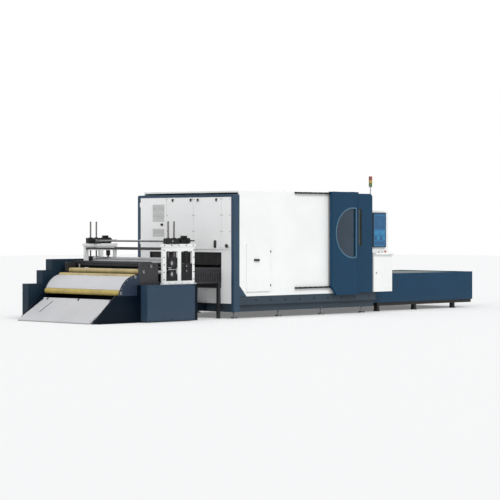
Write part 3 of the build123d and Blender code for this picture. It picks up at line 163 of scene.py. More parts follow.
class Sheet(Graph):
    """A material's tree with short calls for the nodes that the finishes share."""

    def __init__(self, name: str) -> None:
        """Starts a material with a Principled shader.

        Args:
            name: The material's name.
        """
        self.material = bpy.data.materials.new(name)
        self.material.use_nodes = True
        super().__init__(self.material.node_tree)
        self.shader = self.nodes["Principled BSDF"]
        self.position = self.add("ShaderNodeTexCoord").outputs["Object"]

    def set(self, **inputs: object) -> None:
        """Feeds the shader's inputs, named with _ for a space."""
        for name, value in inputs.items():
            self.feed(self.shader.inputs[name.replace("_", " ")], value)

    def noise(self, scale: float, detail: float = 3.0, stretch: Point = (1.0, 1.0, 1.0)) -> Socket:
        """Noise over the piece.

        Args:
            scale: Features per metre.
            detail: Octaves.
            stretch: Scale of the coordinates along each axis.

        Returns:
            The noise factor.
        """
        place = self.add("ShaderNodeMapping", {"Vector": self.position, "Scale": stretch})
        inputs = {"Vector": place.outputs["Vector"], "Scale": scale, "Detail": detail}
        return self.add("ShaderNodeTexNoise", inputs).outputs["Fac"]

    def wave(self, axis: Axis, scale: float) -> Socket:
        """Bands of a scale across an axis."""
        inputs = {"Vector": self.position, "Scale": scale, "Distortion": 0.0}
        node = self.add("ShaderNodeTexWave", inputs, bands_direction=axis.name)
        return node.outputs["Fac"]

    def span(
        self, value: Socket, low: float, high: float, start: float = 0.3, end: float = 0.7
    ) -> Socket:
        """A value carried from one span to another.

        Args:
            value: The socket to read.
            low: Result at the start of the span.
            high: Result at its end.
            start: Value that gives the low result.
            end: Value that gives the high result.

        Returns:
            The carried value.
        """
        return self.add("ShaderNodeMapRange", {
            "Value": value, "From Min": start, "From Max": end, "To Min": low, "To Max": high,
        }).outputs["Result"]

    def mix(self, factor: Socket, first: Socket | Colour, second: Colour) -> Socket:
        """Two colours mixed by the share of the second one."""
        node = self.add("ShaderNodeMix", {0: factor}, data_type="RGBA")
        ends = (socket for socket in node.inputs if socket.type == "RGBA")
        for target, colour in zip(ends, (first, second)):
            self.feed(target, linear(colour) if isinstance(colour, tuple) else colour)
        return next(socket for socket in node.outputs if socket.type == "RGBA")

    def tone(self, factor: Socket, colour: Colour, dark: float, light: float) -> Socket:
        """A colour that wavers between a darker and a lighter version of itself."""
        return self.mix(factor, shaded(colour, dark), shaded(colour, light))

    def bump(self, height: Socket, depth: float, strength: float = 0.4) -> None:
        """Adds relief to the shader, on top of any that is there.

        Args:
            height: Height between 0 and 1.
            depth: Depth in metres.
            strength: Share of the relief that shows.
        """
        inputs = {"Height": height, "Distance": depth, "Strength": strength}
        node = self.add("ShaderNodeBump", inputs)
        normal = self.shader.inputs["Normal"]
        if normal.links:
            self.link(normal.links[0].from_socket, node.inputs["Normal"])
        self.link(node.outputs["Normal"], normal)


@dataclass(frozen=True)
class Finish:
    """Base of the finishes: a name and a colour."""

    name: str
    colour: Colour

    def fill(self, sheet: Sheet) -> None:
        """Builds the finish in a material's tree."""
        raise NotImplementedError

    def build(self) -> bpy.types.Material:
        """The material of this finish."""
        sheet = Sheet(self.name)
        self.fill(sheet)
        return sheet.material


@dataclass(frozen=True)
class PowderCoat(Finish):
    """Powder-coated sheet steel with orange peel, faint mottling and floor dust."""

    roughness: float = 0.42
    mottle: float = 0.035
    peel: float = 0.00016
    wave: float = 0.0016
    dust: Colour = (0.45, 0.44, 0.42)
    dust_share: float = 0.05
    dust_height: float = 0.38
    gloss: float = 0.28

    def fill(self, sheet: Sheet) -> None:
        """Builds the coat in a material's tree."""
        cloud = sheet.span(sheet.noise(1.7, 4.0), 0.0, 1.0)
        paint = sheet.tone(cloud, self.colour, 1 - self.mottle, 1 + self.mottle)
        height = sheet.add("ShaderNodeSeparateXYZ", {"Vector": sheet.position}).outputs["Z"]
        reach = sheet.span(height, self.dust_share, 0.0, 0.0, self.dust_height)
        sheet.set(
            Base_Color=sheet.mix(reach, paint, self.dust), Specular_IOR_Level=self.gloss,
            Roughness=sheet.span(
                sheet.noise(9.0, 5.0), self.roughness - 0.05, self.roughness + 0.09
            ),
        )
        sheet.bump(sheet.noise(520.0, 2.0), self.peel, 0.5)
        sheet.bump(sheet.noise(3.1, 2.0), self.wave, 0.12)


@dataclass(frozen=True)
class GroundSteel(Finish):
    """Ground or turned metal with a grain along one axis."""

    grain: Axis = Axis.Y
    roughness: float = 0.32
    metallic: float = 1.0
    relief: float = 0.00008
    grain_stretch: float = 0.03

    def fill(self, sheet: Sheet) -> None:
        """Builds the metal in a material's tree."""
        along = tuple(self.grain_stretch if part else 1.0 for part in self.grain.value)
        lines = sheet.noise(420.0, 2.0, along)
        tone = sheet.tone(sheet.span(lines, 0.0, 1.0), self.colour, 0.88, 1.08)
        stain = sheet.span(sheet.noise(6.0, 5.0), 0.0, 0.22, 0.45, 0.75)
        rough = sheet.noise(34.0, 4.0, along)
        sheet.set(
            Base_Color=sheet.mix(stain, tone, shaded(self.colour, 0.62)), Metallic=self.metallic,
            Roughness=sheet.span(rough, self.roughness - 0.08, self.roughness + 0.12),
        )
        sheet.bump(lines, self.relief, 0.35)


@dataclass(frozen=True)
class RollerSleeve(Finish):
    """Cast polyurethane roller sleeve with turning marks and polished running tracks."""

    roughness: float = 0.5

    def fill(self, sheet: Sheet) -> None:
        """Builds the sleeve in a material's tree."""
        tracks = sheet.span(sheet.noise(5.0, 3.0, (0.02, 1.0, 0.02)), 0.0, 1.0)
        tone = sheet.tone(tracks, self.colour, 0.86, 1.07)
        soil = sheet.span(sheet.noise(14.0, 6.0, (1.0, 0.35, 1.0)), 0.0, 0.3, 0.52, 0.8)
        sheet.set(
            Base_Color=sheet.mix(soil, tone, shaded(self.colour, 0.55)),
            Roughness=sheet.span(tracks, self.roughness - 0.12, self.roughness + 0.1, 0.0, 1.0),
        )
        sheet.bump(sheet.wave(Axis.Y, 160.0), 0.00006, 0.5)
        sheet.bump(sheet.noise(260.0, 3.0), 0.00012, 0.4)


@dataclass(frozen=True)
class Moulded(Finish):
    """Moulded plastic with a fine texture."""

    roughness: float = 0.38
    texture: float = 0.00008
    glow: float = 0.0

    def fill(self, sheet: Sheet) -> None:
        """Builds the plastic in a material's tree."""
        cloud = sheet.span(sheet.noise(22.0, 3.0), 0.0, 1.0)
        rough = sheet.noise(60.0, 3.0)
        sheet.set(
            Base_Color=sheet.tone(cloud, self.colour, 0.93, 1.05),
            Roughness=sheet.span(rough, self.roughness - 0.05, self.roughness + 0.07),
        )
        if self.glow:
            sheet.set(Emission_Color=linear(self.colour), Emission_Strength=self.glow)
        sheet.bump(sheet.noise(1400.0, 1.0), self.texture, 0.5)


@dataclass(frozen=True)
class TintedPane(Finish):
    """Laser-safe pane: dark tinted sheet with a clean, slightly wavy surface."""

    transmission: float = 0.45
    refraction: float = 1.49

    def fill(self, sheet: Sheet) -> None:
        """Builds the pane in a material's tree."""
        cloud = sheet.span(sheet.noise(2.2, 2.0), 0.0, 1.0)
        sheet.set(
            Base_Color=sheet.tone(cloud, self.colour, 0.9, 1.12), IOR=self.refraction,
            Transmission_Weight=self.transmission,
            Roughness=sheet.span(sheet.noise(30.0, 4.0), 0.06, 0.12),
        )
        sheet.bump(sheet.noise(4.0, 1.0), 0.0008, 0.1)


@dataclass(frozen=True)
class BeltSurface(Finish):
    """Conveyor belt with a fine woven cover and scuffs along its run."""

    weave: float = 90.0
    weave_depth: float = 0.0001

    def fill(self, sheet: Sheet) -> None:
        """Builds the belt in a material's tree."""
        scuffs = sheet.span(sheet.noise(7.0, 6.0, (0.25, 1.0, 1.0)), 0.0, 1.0, 0.35, 0.75)
        sheet.set(
            Base_Color=sheet.tone(scuffs, self.colour, 0.84, 1.12),
            Roughness=sheet.span(scuffs, 0.62, 0.8, 0.0, 1.0),
        )
        for axis in (Axis.X, Axis.Y):
            sheet.bump(sheet.wave(axis, self.weave), self.weave_depth, 0.4)


class Skin(Enum):
    """The line's finishes, one for each kind of surface."""

    NAVY_COAT = PowderCoat("navy_coat", (0.165, 0.255, 0.330))
    DOOR_COAT = PowderCoat("door_coat", (0.020, 0.205, 0.310), roughness=0.36, gloss=0.2)
    COVER_COAT = PowderCoat("cover_coat", (0.150, 0.230, 0.305))
    # Navy paint darkened as painted shade for the infeed base's recessed face; the gantry supports
    # share it.
    BASE_COAT = PowderCoat("base_coat", (0.010, 0.060, 0.110), 0.5, dust_share=0.02, gloss=0.1)
    STEP_COAT = PowderCoat("step_coat", (0.085, 0.155, 0.210), roughness=0.45, gloss=0.2)
    BED_COAT = PowderCoat("bed_coat", (0.170, 0.225, 0.270), roughness=0.45)
    ARC_COAT = PowderCoat("arc_coat", (0.135, 0.180, 0.245), roughness=0.42)
    TRIM_COAT = PowderCoat("trim_coat", (0.270, 0.390, 0.475), roughness=0.3)
    COPPER = GroundSteel("copper", (0.720, 0.450, 0.310), Axis.Z, 0.24)
    CERAMIC = Moulded("ceramic", (0.860, 0.840, 0.790), 0.4)
    WHITE_COAT = PowderCoat("white_coat", (0.905, 0.910, 0.905), roughness=0.38, mottle=0.012)
    END_COAT = PowderCoat("end_coat", (0.905, 0.905, 0.905), roughness=0.4, mottle=0.015)
    GREY_COAT = PowderCoat("grey_coat", (0.730, 0.730, 0.740), roughness=0.45, mottle=0.02)
    BLACK_COAT = PowderCoat("black_coat", (0.085, 0.085, 0.090), roughness=0.36, mottle=0.08)
    FRAME_COAT = PowderCoat("frame_coat", (0.880, 0.885, 0.880), roughness=0.4, mottle=0.015)
    DARK_STEEL = GroundSteel("dark_steel", (0.260, 0.260, 0.270), Axis.Z, 0.42, 0.7)
    BLACKENED = GroundSteel("blackened_steel", (0.130, 0.130, 0.140), Axis.Y, 0.45, 0.6)
    SHAFT_STEEL = GroundSteel("shaft_steel", (0.560, 0.560, 0.570), Axis.Y, 0.26)
    SPINDLE_STEEL = GroundSteel("spindle_steel", (0.360, 0.350, 0.340), Axis.Z, 0.3)
    ROLL_CHROME = GroundSteel("roll_chrome", (0.640, 0.645, 0.655), Axis.Y, 0.16)
    ALUMINIUM = GroundSteel("milled_aluminium", (0.700, 0.705, 0.715), Axis.X, 0.36)
    ZINC = GroundSteel("zinc_plate", (0.600, 0.605, 0.610), Axis.Z, 0.38)
    SLAT_STEEL = GroundSteel("slat_steel", (0.400, 0.385, 0.370), Axis.Y, 0.5, 0.8)
    YELLOW_SLEEVE = RollerSleeve("yellow_sleeve", (0.690, 0.610, 0.330))
    TAN_SLEEVE = RollerSleeve("tan_sleeve", (0.700, 0.630, 0.440))
    PANE = TintedPane("tinted_pane", (0.200, 0.260, 0.230))
    DOOR_PANE = TintedPane("door_pane", (0.085, 0.185, 0.255), 0.2)
    BELT = BeltSurface("belt_cover", (0.415, 0.455, 0.440))
    GREEN = Moulded("green_cap", (0.080, 0.500, 0.220))
    RED = Moulded("red_cap", (0.720, 0.060, 0.060))
    PLASTIC = Moulded("black_plastic", (0.060, 0.060, 0.065), 0.45)
    SCREEN_BLUE = Moulded("screen_blue", (0.060, 0.380, 0.560), 0.2, 0.0, 0.10)
    SCREEN_DARK = Moulded("screen_dark", (0.040, 0.300, 0.460), 0.2, 0.0, 0.08)
    SCREEN_PALE = Moulded("screen_pale", (0.120, 0.450, 0.620), 0.2, 0.0, 0.10)
    LENS_RED = Moulded("lens_red", (0.520, 0.170, 0.110), 0.2, 0.0, 0.02)
    LENS_AMBER = Moulded("lens_amber", (0.640, 0.520, 0.220), 0.2, 0.0, 0.02)
    LENS_GREEN = Moulded("lens_green", (0.260, 0.400, 0.200), 0.2, 0.0, 0.02)
    GASKET = Moulded("black_gasket", (0.045, 0.045, 0.048), 0.7, 0.0002)


@cache
def material(skin: Skin) -> bpy.types.Material:
    """The material of a finish, made once."""
    return skin.value.build()


def link(name: str, data: bpy.types.ID) -> bpy.types.Object:
    """Links new data to the scene as an object."""
    thing = bpy.data.objects.new(name, data)
    bpy.context.scene.collection.objects.link(thing)
    return thing


def baked(holder: bpy.types.Object) -> bpy.types.Mesh:
    """Mesh of an object with its modifiers; the object itself is removed."""
    bpy.context.view_layer.update()
    ready = holder.evaluated_get(bpy.context.evaluated_depsgraph_get())
    mesh = bpy.data.meshes.new_from_object(ready)
    bpy.data.objects.remove(holder)
    return mesh


def shade(mesh: bpy.types.Mesh, degrees: float = SHARP_DEGREES) -> None:
    """Smooth shading with sharp edges past an angle in degrees."""
    mesh.shade_smooth()
    mesh.set_sharp_from_angle(angle=math.radians(degrees))


def add_piece(name: str, mesh: bpy.types.Mesh, body: str) -> bpy.types.Object:
    """Links a mesh as a piece that rides on a body.

    Args:
        name: The piece's name.
        mesh: Its mesh, already in place.
        body: The body that carries it.

    Returns:
        The piece.
    """
    piece = link(name, mesh)
    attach(piece, body)
    log.info("%s: %d faces on %s", name, len(mesh.polygons), body)
    return piece


def add_model(
    name: str, model: bmesh.types.BMesh, body: str, skins: Iterable[Skin],
    degrees: float = SHARP_DEGREES,
) -> bpy.types.Object:
    """Turns a bmesh into a piece, with normals weighted so that wide faces look flat.

    Args:
        name: The piece's name.
        model: Its bmesh, which is freed.
        body: The body that carries it.
        skins: The finishes of its material slots.
        degrees: Angle past which an edge is sharp.

    Returns:
        The piece.
    """
    mesh = bpy.data.meshes.new(name)
    model.to_mesh(mesh)
    model.free()
    shade(mesh, degrees)
    for skin in skins:
        mesh.materials.append(material(skin))
    holder = link(name, mesh)
    weights = holder.modifiers.new("weights", "WEIGHTED_NORMAL")
    weights.keep_sharp = True
    weights.weight = 90
    return add_piece(name, baked(holder), body)


@dataclass(frozen=True)
class Box:
    """The box round a CAD node or a part of it, in metres; x, y and z are its middle."""

    low: Vector
    high: Vector

    def __iter__(self) -> Iterator[Vector]:
        """The lowest and the highest corner."""
        return iter((self.low, self.high))

    @property
    def x(self) -> float:
        """Middle along X."""
        return (self.low.x + self.high.x) / 2

    @property
    def y(self) -> float:
        """Middle along Y."""
        return (self.low.y + self.high.y) / 2

    @property
    def z(self) -> float:
        """Middle along Z."""
        return (self.low.z + self.high.z) / 2

    @property
    def radius(self) -> float:
        """Half of the extent along X."""
        return (self.high.x - self.low.x) / 2

    def sides(self, names: tuple[str, str] = ("front", "rear")) -> Iterable[tuple]:
        """Name, Y and outward way of the near and the far side."""
        return zip(names, (self.low.y, self.high.y), (-1.0, 1.0))

    def inner(self, inset: float) -> tuple[float, float, float, float]:
        """Lowest and highest X, then Z, drawn in by an inset."""
        return (self.low.x + inset, self.high.x - inset, self.low.z + inset, self.high.z - inset)


def box_of(node: str, keep: Callable[[Vector], bool] = lambda point: True) -> Box:
    """The box round a CAD node.

    Args:
        node: The CAD node.
        keep: Only the corners that it accepts count.

    Returns:
        The box.
    """
    points = [v.co for v in frame["nodes"][node].data.vertices if keep(v.co)]
    return Box(*(
        Vector(pick(point[axis] for point in points) for axis in range(3)) for pick in (min, max)
    ))


def body_of(node: str) -> str:
    """Name of the body that a CAD node rides on."""
    return frame["nodes"][node]["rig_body"]


def run(first: float, last: float, count: int) -> list[float]:
    """Evenly spaced values from the first to the last."""
    return [first + (last - first) * index / (count - 1) for index in range(count)]


def grid(xs: Values, ys: Values, zs: Values) -> list[Point]:
    """Every point with one of the values along X, Y and Z, the last one changing first."""
    return list(product(*((v,) if isinstance(v, float) else v for v in (xs, ys, zs))))


def ring(centre: Point, radius: float, angles: Iterable[float], axis: Axis) -> list[Point]:
    """Points on a circle.

    Args:
        centre: The circle's centre.
        radius: Its radius.
        angles: Where the points are, in radians from X.
        axis: Axis of the circle, Y or Z.

    Returns:
        The points.
    """
    x, y, z = centre
    arms = [(radius * math.cos(angle), radius * math.sin(angle)) for angle in angles]
    if axis is Axis.Y:
        return [(x + across, y, z + rise) for across, rise in arms]
    return [(x + across, y + aside, z) for across, aside in arms]


def ease_journals(
    model: bmesh.types.BMesh, node: str, share: float = 0.8, room: float = 0.0006
) -> None:
    """Draws a roller's journals in, so that their facets turn free in the bores.

    Args:
        model: The roller's mesh.
        node: Its CAD node, with its axis along Y.
        share: Share of the drum's radius under which a corner is on a journal.
        room: How far the journals are drawn in, in metres.
    """
    box = box_of(node)
    for vertex in model.verts:
        x, z = vertex.co.x - box.x, vertex.co.z - box.z
        reach = math.hypot(x, z)
        if room < reach < share * box.radius:
            vertex.co.x = box.x + x * (reach - room) / reach
            vertex.co.z = box.z + z * (reach - room) / reach


def dress_node(node: str, *skins: Skin, width: float = 0.002) -> bpy.types.Object:
    """Replaces a CAD node by the same form with rounded convex edges.

    Args:
        node: The CAD node.
        skins: Its finish, and any that is set on some of its faces later.
        width: Width of the rounding in metres.

    Returns:
        The piece that stands for the node.
    """
    model = bmesh.new()
    model.from_mesh(frame["nodes"][node].data)
    bmesh.ops.remove_doubles(model, verts=model.verts, dist=0.00002)
    bmesh.ops.dissolve_limit(
        model, angle_limit=math.radians(0.5), verts=model.verts, edges=model.edges
    )
    if node.endswith(("_roller", "_roll")):
        ease_journals(model, node)
    sharp = [
        edge for edge in model.edges
        if edge.is_convex and len(edge.link_faces) == 2
        and edge.calc_face_angle() > math.radians(50.0)
    ]
    bmesh.ops.bevel(
        model, geom=sharp, offset=width, segments=2, profile=0.6, affect="EDGES",
        clamp_overlap=True,
    )
    piece = add_model(f"{node}_body", model, body_of(node), skins)
    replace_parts(piece, node)
    return piece


class Shape:
    """A piece in the making, with short calls for the forms that details share."""

    def __init__(self, name: str, skin: Skin) -> None:
        """Starts an empty piece.

        Args:
            name: The piece's name.
            skin: Finish of the first forms.
        """
        self.name = name
        self.model = bmesh.new()
        self.skins = [skin]
        self.slot = 0

    def paint(self, skin: Skin) -> Self:
        """Sets the finish of the forms that follow."""
        if skin not in self.skins:
            self.skins.append(skin)
        self.slot = self.skins.index(skin)
        return self

    def block(self, low: Point, high: Point, rounding: float = 0.0) -> Self:
        """Adds a box between two corners, with rounded edges if asked."""
        centre = (Vector(low) + Vector(high)) / 2
        size = Vector(high) - Vector(low)
        place = Matrix.Translation(centre) @ Matrix.Diagonal((*size, 1.0))
        made = bmesh.ops.create_cube(self.model, size=1.0, matrix=place)
        faces = list({face for vert in made["verts"] for face in vert.link_faces})
        if rounding:
            edges = list({edge for face in faces for edge in face.edges})
            rounded = bmesh.ops.bevel(
                self.model, geom=edges, offset=rounding, segments=2, profile=0.5,
                affect="EDGES", clamp_overlap=True,
            )
            faces = [face for face in faces if face.is_valid] + rounded["faces"]
        for face in faces:
            face.material_index = self.slot
        return self

    def turned(
        self, start: Point, axis: Axis, profile: list[tuple[float, float]], segments: int = 24,
        sign: float = 1.0, hollow: bool = False,
    ) -> Self:
        """Adds a turned form.

        Args:
            start: Point on its axis where distance is 0.
            axis: Direction of its axis.
            profile: Pairs of distance along the axis and radius.
            segments: Sides round the axis.
            sign: -1 to run against the axis.
            hollow: Whether the profile closes on itself instead of ending in flat ends.

        Returns:
            The shape itself.
        """
        turn = (Vector(axis.value) * sign).to_track_quat("Z", "Y").to_matrix()
        angles = [math.tau * step / segments for step in range(segments)]
        rings = [[
            self.model.verts.new(Vector(start) + turn @ Vector(
                (radius * math.cos(angle), radius * math.sin(angle), distance)
            )) for angle in angles
        ] for distance, radius in profile]
        loops = [] if hollow else [rings[0][::-1], rings[-1]]
        for lower, upper in zip(rings, rings[1:] + rings[:1] if hollow else rings[1:]):
            for step in range(segments):
                after = (step + 1) % segments
                loops.append((lower[step], lower[after], upper[after], upper[step]))
        for loop in loops:
            self.model.faces.new(loop).material_index = self.slot
        return self

    def frame(
        self, edges: tuple[float, ...], depth: tuple[float, float], width: float,
        lap: float = 0.0, rounding: float = 0.0,
    ) -> Self:
        """Adds a frame that faces along Y, of two posts with two bars between them.

        Args:
            edges: Lowest and highest X, then Z, of its outline.
            depth: Its lowest and highest Y.
            width: Width of its strips.
            lap: How far the bars run into the posts.
            rounding: Width of the rounded edges.

        Returns:
            The shape itself.
        """
        x0, x1, z0, z1 = edges
        inset = width - lap
        for left, right, base, top in (
            (x0, x0 + width, z0, z1), (x1 - width, x1, z0, z1),
            (x0 + inset, x1 - inset, z0, z0 + width), (x0 + inset, x1 - inset, z1 - width, z1),
        ):
            self.block((left, depth[0], base), (right, depth[1], top), rounding)
        return self

    def rod(
        self, start: Point, axis: Axis, radius: float, length: float, segments: int = 24,
        edge: float = 0.0, sign: float = 1.0,
    ) -> Self:
        """Adds a round bar whose ends are chamfered by an edge width."""
        profile = [(0.0, radius), (length, radius)]
        if edge:
            profile = [(0.0, radius - edge), (edge, radius), (length - edge, radius),
                       (length, radius - edge)]
        return self.turned(start, axis, profile, segments, sign)

    def washer(
        self, start: Point, axis: Axis, inner: float, outer: float, length: float,
        segments: int = 32, sign: float = 1.0,
    ) -> Self:
        """Adds a ring with a square section."""
        profile = [(0.0, inner), (0.0, outer), (length, outer), (length, inner)]
        return self.turned(start, axis, profile, segments, sign, hollow=True)

    def tilt(self, pivot: Point, angle: float) -> Self:
        """Turns what is built so far about an axis along Y.

        Args:
            pivot: A point on the axis.
            angle: The turn in radians; positive lowers the far end.

        Returns:
            The shape itself.
        """
        turn = Matrix.Rotation(angle, 3, "Y")
        bmesh.ops.rotate(self.model, cent=pivot, matrix=turn, verts=self.model.verts)
        return self

    def piece(self, body: str = "machine", degrees: float = SHARP_DEGREES) -> bpy.types.Object:
        """Ends the piece and lets it ride on a body."""
        bmesh.ops.recalc_face_normals(self.model, faces=self.model.faces)
        return add_model(self.name, self.model, body, self.skins, degrees)


class FastenerTree(Graph):
    """Geometry Nodes tree that sets one fastener on each point of a mesh."""

    INPUTS = {
        "Head radius": "Float", "Head height": "Float", "Washer radius": "Float",
        "Washer height": "Float", "Sides": "Int", "Direction": "Vector", "Seed": "Int",
        "Finish": "Material",
    }
    WASHER_SIDES = 20

    def __init__(self) -> None:
        """Builds the tree with its named inputs."""
        self.tree = bpy.data.node_groups.new("fasteners", "GeometryNodeTree")
        super().__init__(self.tree)
        face = self.tree.interface
        face.new_socket("Geometry", in_out="INPUT", socket_type="NodeSocketGeometry")
        self.sockets = {
            name: face.new_socket(name, in_out="INPUT", socket_type=f"NodeSocket{kind}").identifier
            for name, kind in self.INPUTS.items()
        }
        face.new_socket("Geometry", in_out="OUTPUT", socket_type="NodeSocketGeometry")
        self._wire()

    def _wire(self) -> None:
        """Links the tree: points, a head and a washer on each, then real meshes."""
        given = self.add("NodeGroupInput").outputs
        both = self.add("GeometryNodeJoinGeometry")
        for part, sides in (("Washer", self.WASHER_SIDES), ("Head", given["Sides"])):
            height = given[f"{part} height"]
            solid = self.add("GeometryNodeMeshCylinder", {
                "Vertices": sides, "Radius": given[f"{part} radius"], "Depth": height,
            })
            half = self.add("ShaderNodeMath", {0: height, 1: 0.5}, operation="MULTIPLY")
            place = self.add("ShaderNodeCombineXYZ", {"Z": half.outputs[0]})
            move = self.add("GeometryNodeTransform", {
                "Geometry": solid.outputs["Mesh"], "Translation": place.outputs[0],
            })
            self.link(move.outputs["Geometry"], both.inputs[0])
        spin = self.add("FunctionNodeRandomValue", {"Seed": given["Seed"]}, data_type="FLOAT")
        top = next(s for s in spin.inputs if s.name == "Max" and s.type == "VALUE")
        top.default_value = math.tau
        angle = next(s for s in spin.outputs if s.type == "VALUE")
        twist = self.add("FunctionNodeAxisAngleToRotation", {"Axis": UP, "Angle": angle})
        aim = self.add(
            "FunctionNodeAlignRotationToVector", {"Vector": given["Direction"]}, axis="Z"
        )
        turned = self.add("FunctionNodeRotateRotation", {
            "Rotation": aim.outputs[0], "Rotate By": twist.outputs[0],
        }, rotation_space="LOCAL")
        copies = self.add("GeometryNodeInstanceOnPoints", {
            "Points": given["Geometry"], "Instance": both.outputs[0],
            "Rotation": turned.outputs[0],
        })
        real = self.add("GeometryNodeRealizeInstances", {0: copies.outputs[0]})
        coat = self.add("GeometryNodeSetMaterial", {
            "Geometry": real.outputs[0], "Material": given["Finish"],
        })
        self.add("NodeGroupOutput", {0: coat.outputs[0]})


@dataclass(frozen=True)
class Fastener:
    """Sizes of one kind of screw head with its washer."""

    head: float
    height: float
    washer: float
    sides: int = 6
    skin: Skin = Skin.ZINC
    washer_height: float = 0.0015


BOLT = Fastener(0.011, 0.009, 0.014)
CAP_SCREW = Fastener(0.008, 0.008, 0.010, 16, Skin.BLACKENED)
PANEL_SCREW = Fastener(0.006, 0.0025, 0.009, 18)
DARK_BOLT = replace(BOLT, skin=Skin.BLACKENED)
DARK_SCREW = replace(PANEL_SCREW, skin=Skin.BLACKENED)


class FastenerSetter:
    """Sets fields of fasteners with the shared tree and bakes each to one mesh."""

    def __init__(self) -> None:
        """Makes the shared tree."""
        self.source = FastenerTree()
        self.count = 0

    def field(
        self, name: str, kind: Fastener, direction: Point, places: list[Point],
        body: str = "machine",
    ) -> bpy.types.Object:
        """Sets one field.

        Args:
            name: The piece's name.
            kind: The fastener.
            direction: Way that the heads point.
            places: Where the heads sit.
            body: The body that carries it.

        Returns:
            The piece with every fastener of the field.
        """
        points = bpy.data.meshes.new(f"{name}_points")
        points.from_pydata(places, [], [])
        holder = link(f"{name}_points", points)
        modifier = holder.modifiers.new("fasteners", "NODES")
        modifier.node_group = self.source.tree
        self.count += 1
        values = {
            "Head radius": kind.head, "Head height": kind.height,
            "Washer radius": kind.washer, "Washer height": kind.washer_height,
            "Sides": kind.sides, "Direction": direction, "Seed": self.count,
            "Finish": material(kind.skin),
        }
        for key, value in values.items():
            modifier[self.source.sockets[key]] = value
        mesh = baked(holder)
        mesh.name = name
        shade(mesh)
        return add_piece(name, mesh, body)


@dataclass
class Studio:
    """Plain pale studio with the camera at the photograph's viewing angle.

    Attributes:
        suns: Name, rotation in degrees, strength and angular size of each lamp.
    """

    camera_place: Point = (-24.89, -24.52, 1.538)
    heading: float = 45.02
    focal_share: float = 3.90
    shift_down: float = -0.045
    sensor: float = 36.0
    far_clip: float = 300.0
    floor_half: float = 60.0
    floor_colour: Colour = (0.93, 0.93, 0.93)
    floor_roughness: float = 0.9
    floor_white: float = 0.18
    sky_colour: tuple[float, ...] = (0.97, 0.985, 1.0, 1.0)
    sky_strength: float = 0.60
    suns: tuple[tuple[str, Point, float, float], ...] = (
        ("key", (48.0, 0.0, -12.0), 1.55, 28.0), ("fill", (62.0, 0.0, -78.0), 0.95, 40.0),
    )

    def camera(self) -> None:
        """Places the camera, level and turned towards the middle of the line."""
        data = bpy.data.cameras.new("camera")
        data.sensor_width = self.sensor
        data.lens = self.focal_share * data.sensor_width
        data.shift_y = self.shift_down
        data.clip_end = self.far_clip
        camera = link("camera", data)
        camera.location = self.camera_place
        camera.rotation_euler = (math.radians(90), 0.0, math.radians(-self.heading))
        bpy.context.scene.camera = camera

    def whiten(self, graph: Graph, shader: Socket, output: str, share: float) -> None:
        """Mixes plain white into a shader for camera, glossy and transmission rays.

        Args:
            graph: The tree.
            shader: The shader that other rays see.
            output: Name of the tree's output node.
            share: Share of white that the camera sees.
        """
        rays = graph.add("ShaderNodeLightPath").outputs
        seen = rays["Is Camera Ray"]
        for kind in ("Is Glossy Ray", "Is Transmission Ray"):
            inputs = {0: seen, 1: rays[kind]}
            seen = graph.add("ShaderNodeMath", inputs, operation="MAXIMUM").outputs[0]
        part = graph.add("ShaderNodeMath", {0: seen, 1: share}, operation="MULTIPLY")
        white = graph.add(
            "ShaderNodeBackground" if shader.node.type == "BACKGROUND" else "ShaderNodeEmission",
            {"Color": (1.0, 1.0, 1.0, 1.0), "Strength": 1.0},
        )
        inputs = {"Fac": part.outputs[0], 1: shader, 2: white.outputs[0]}
        mix = graph.add("ShaderNodeMixShader", inputs)
        graph.link(mix.outputs[0], graph.nodes[output].inputs["Surface"])

    def sky(self) -> None:
        """Even white sky that the camera sees as plain white."""
        world = bpy.data.worlds.new("sky")
        world.use_nodes = True
        graph = Graph(world.node_tree)
        sky = graph.nodes["Background"]
        graph.feed(sky.inputs["Color"], self.sky_colour)
        graph.feed(sky.inputs["Strength"], self.sky_strength)
        self.whiten(graph, sky.outputs[0], "World Output", 1.0)
        bpy.context.scene.world = world

    def floor(self) -> None:
        """Pale floor that keeps the line's shadow."""
        half = self.floor_half
        corners = [(-half, -half, 0.0), (half, -half, 0.0), (half, half, 0.0), (-half, half, 0.0)]
        mesh = bpy.data.meshes.new("floor")
        mesh.from_pydata(corners, [], [(0, 1, 2, 3)])
        sheet = Sheet("floor")
        sheet.set(Base_Color=linear(self.floor_colour), Roughness=self.floor_roughness)
        self.whiten(sheet, sheet.shader.outputs[0], "Material Output", self.floor_white)
        mesh.materials.append(sheet.material)
        link("floor", mesh)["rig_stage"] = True

    def build(self) -> None:
        """Makes the whole studio."""
        bpy.context.scene.view_settings.view_transform = "Standard"
        self.camera()
        self.sky()
        self.floor()
        for name, turn, strength, spread in self.suns:
            data = bpy.data.lights.new(name, "SUN")
            data.energy = strength
            data.angle = math.radians(spread)
            link(name, data).rotation_euler = tuple(math.radians(part) for part in turn)


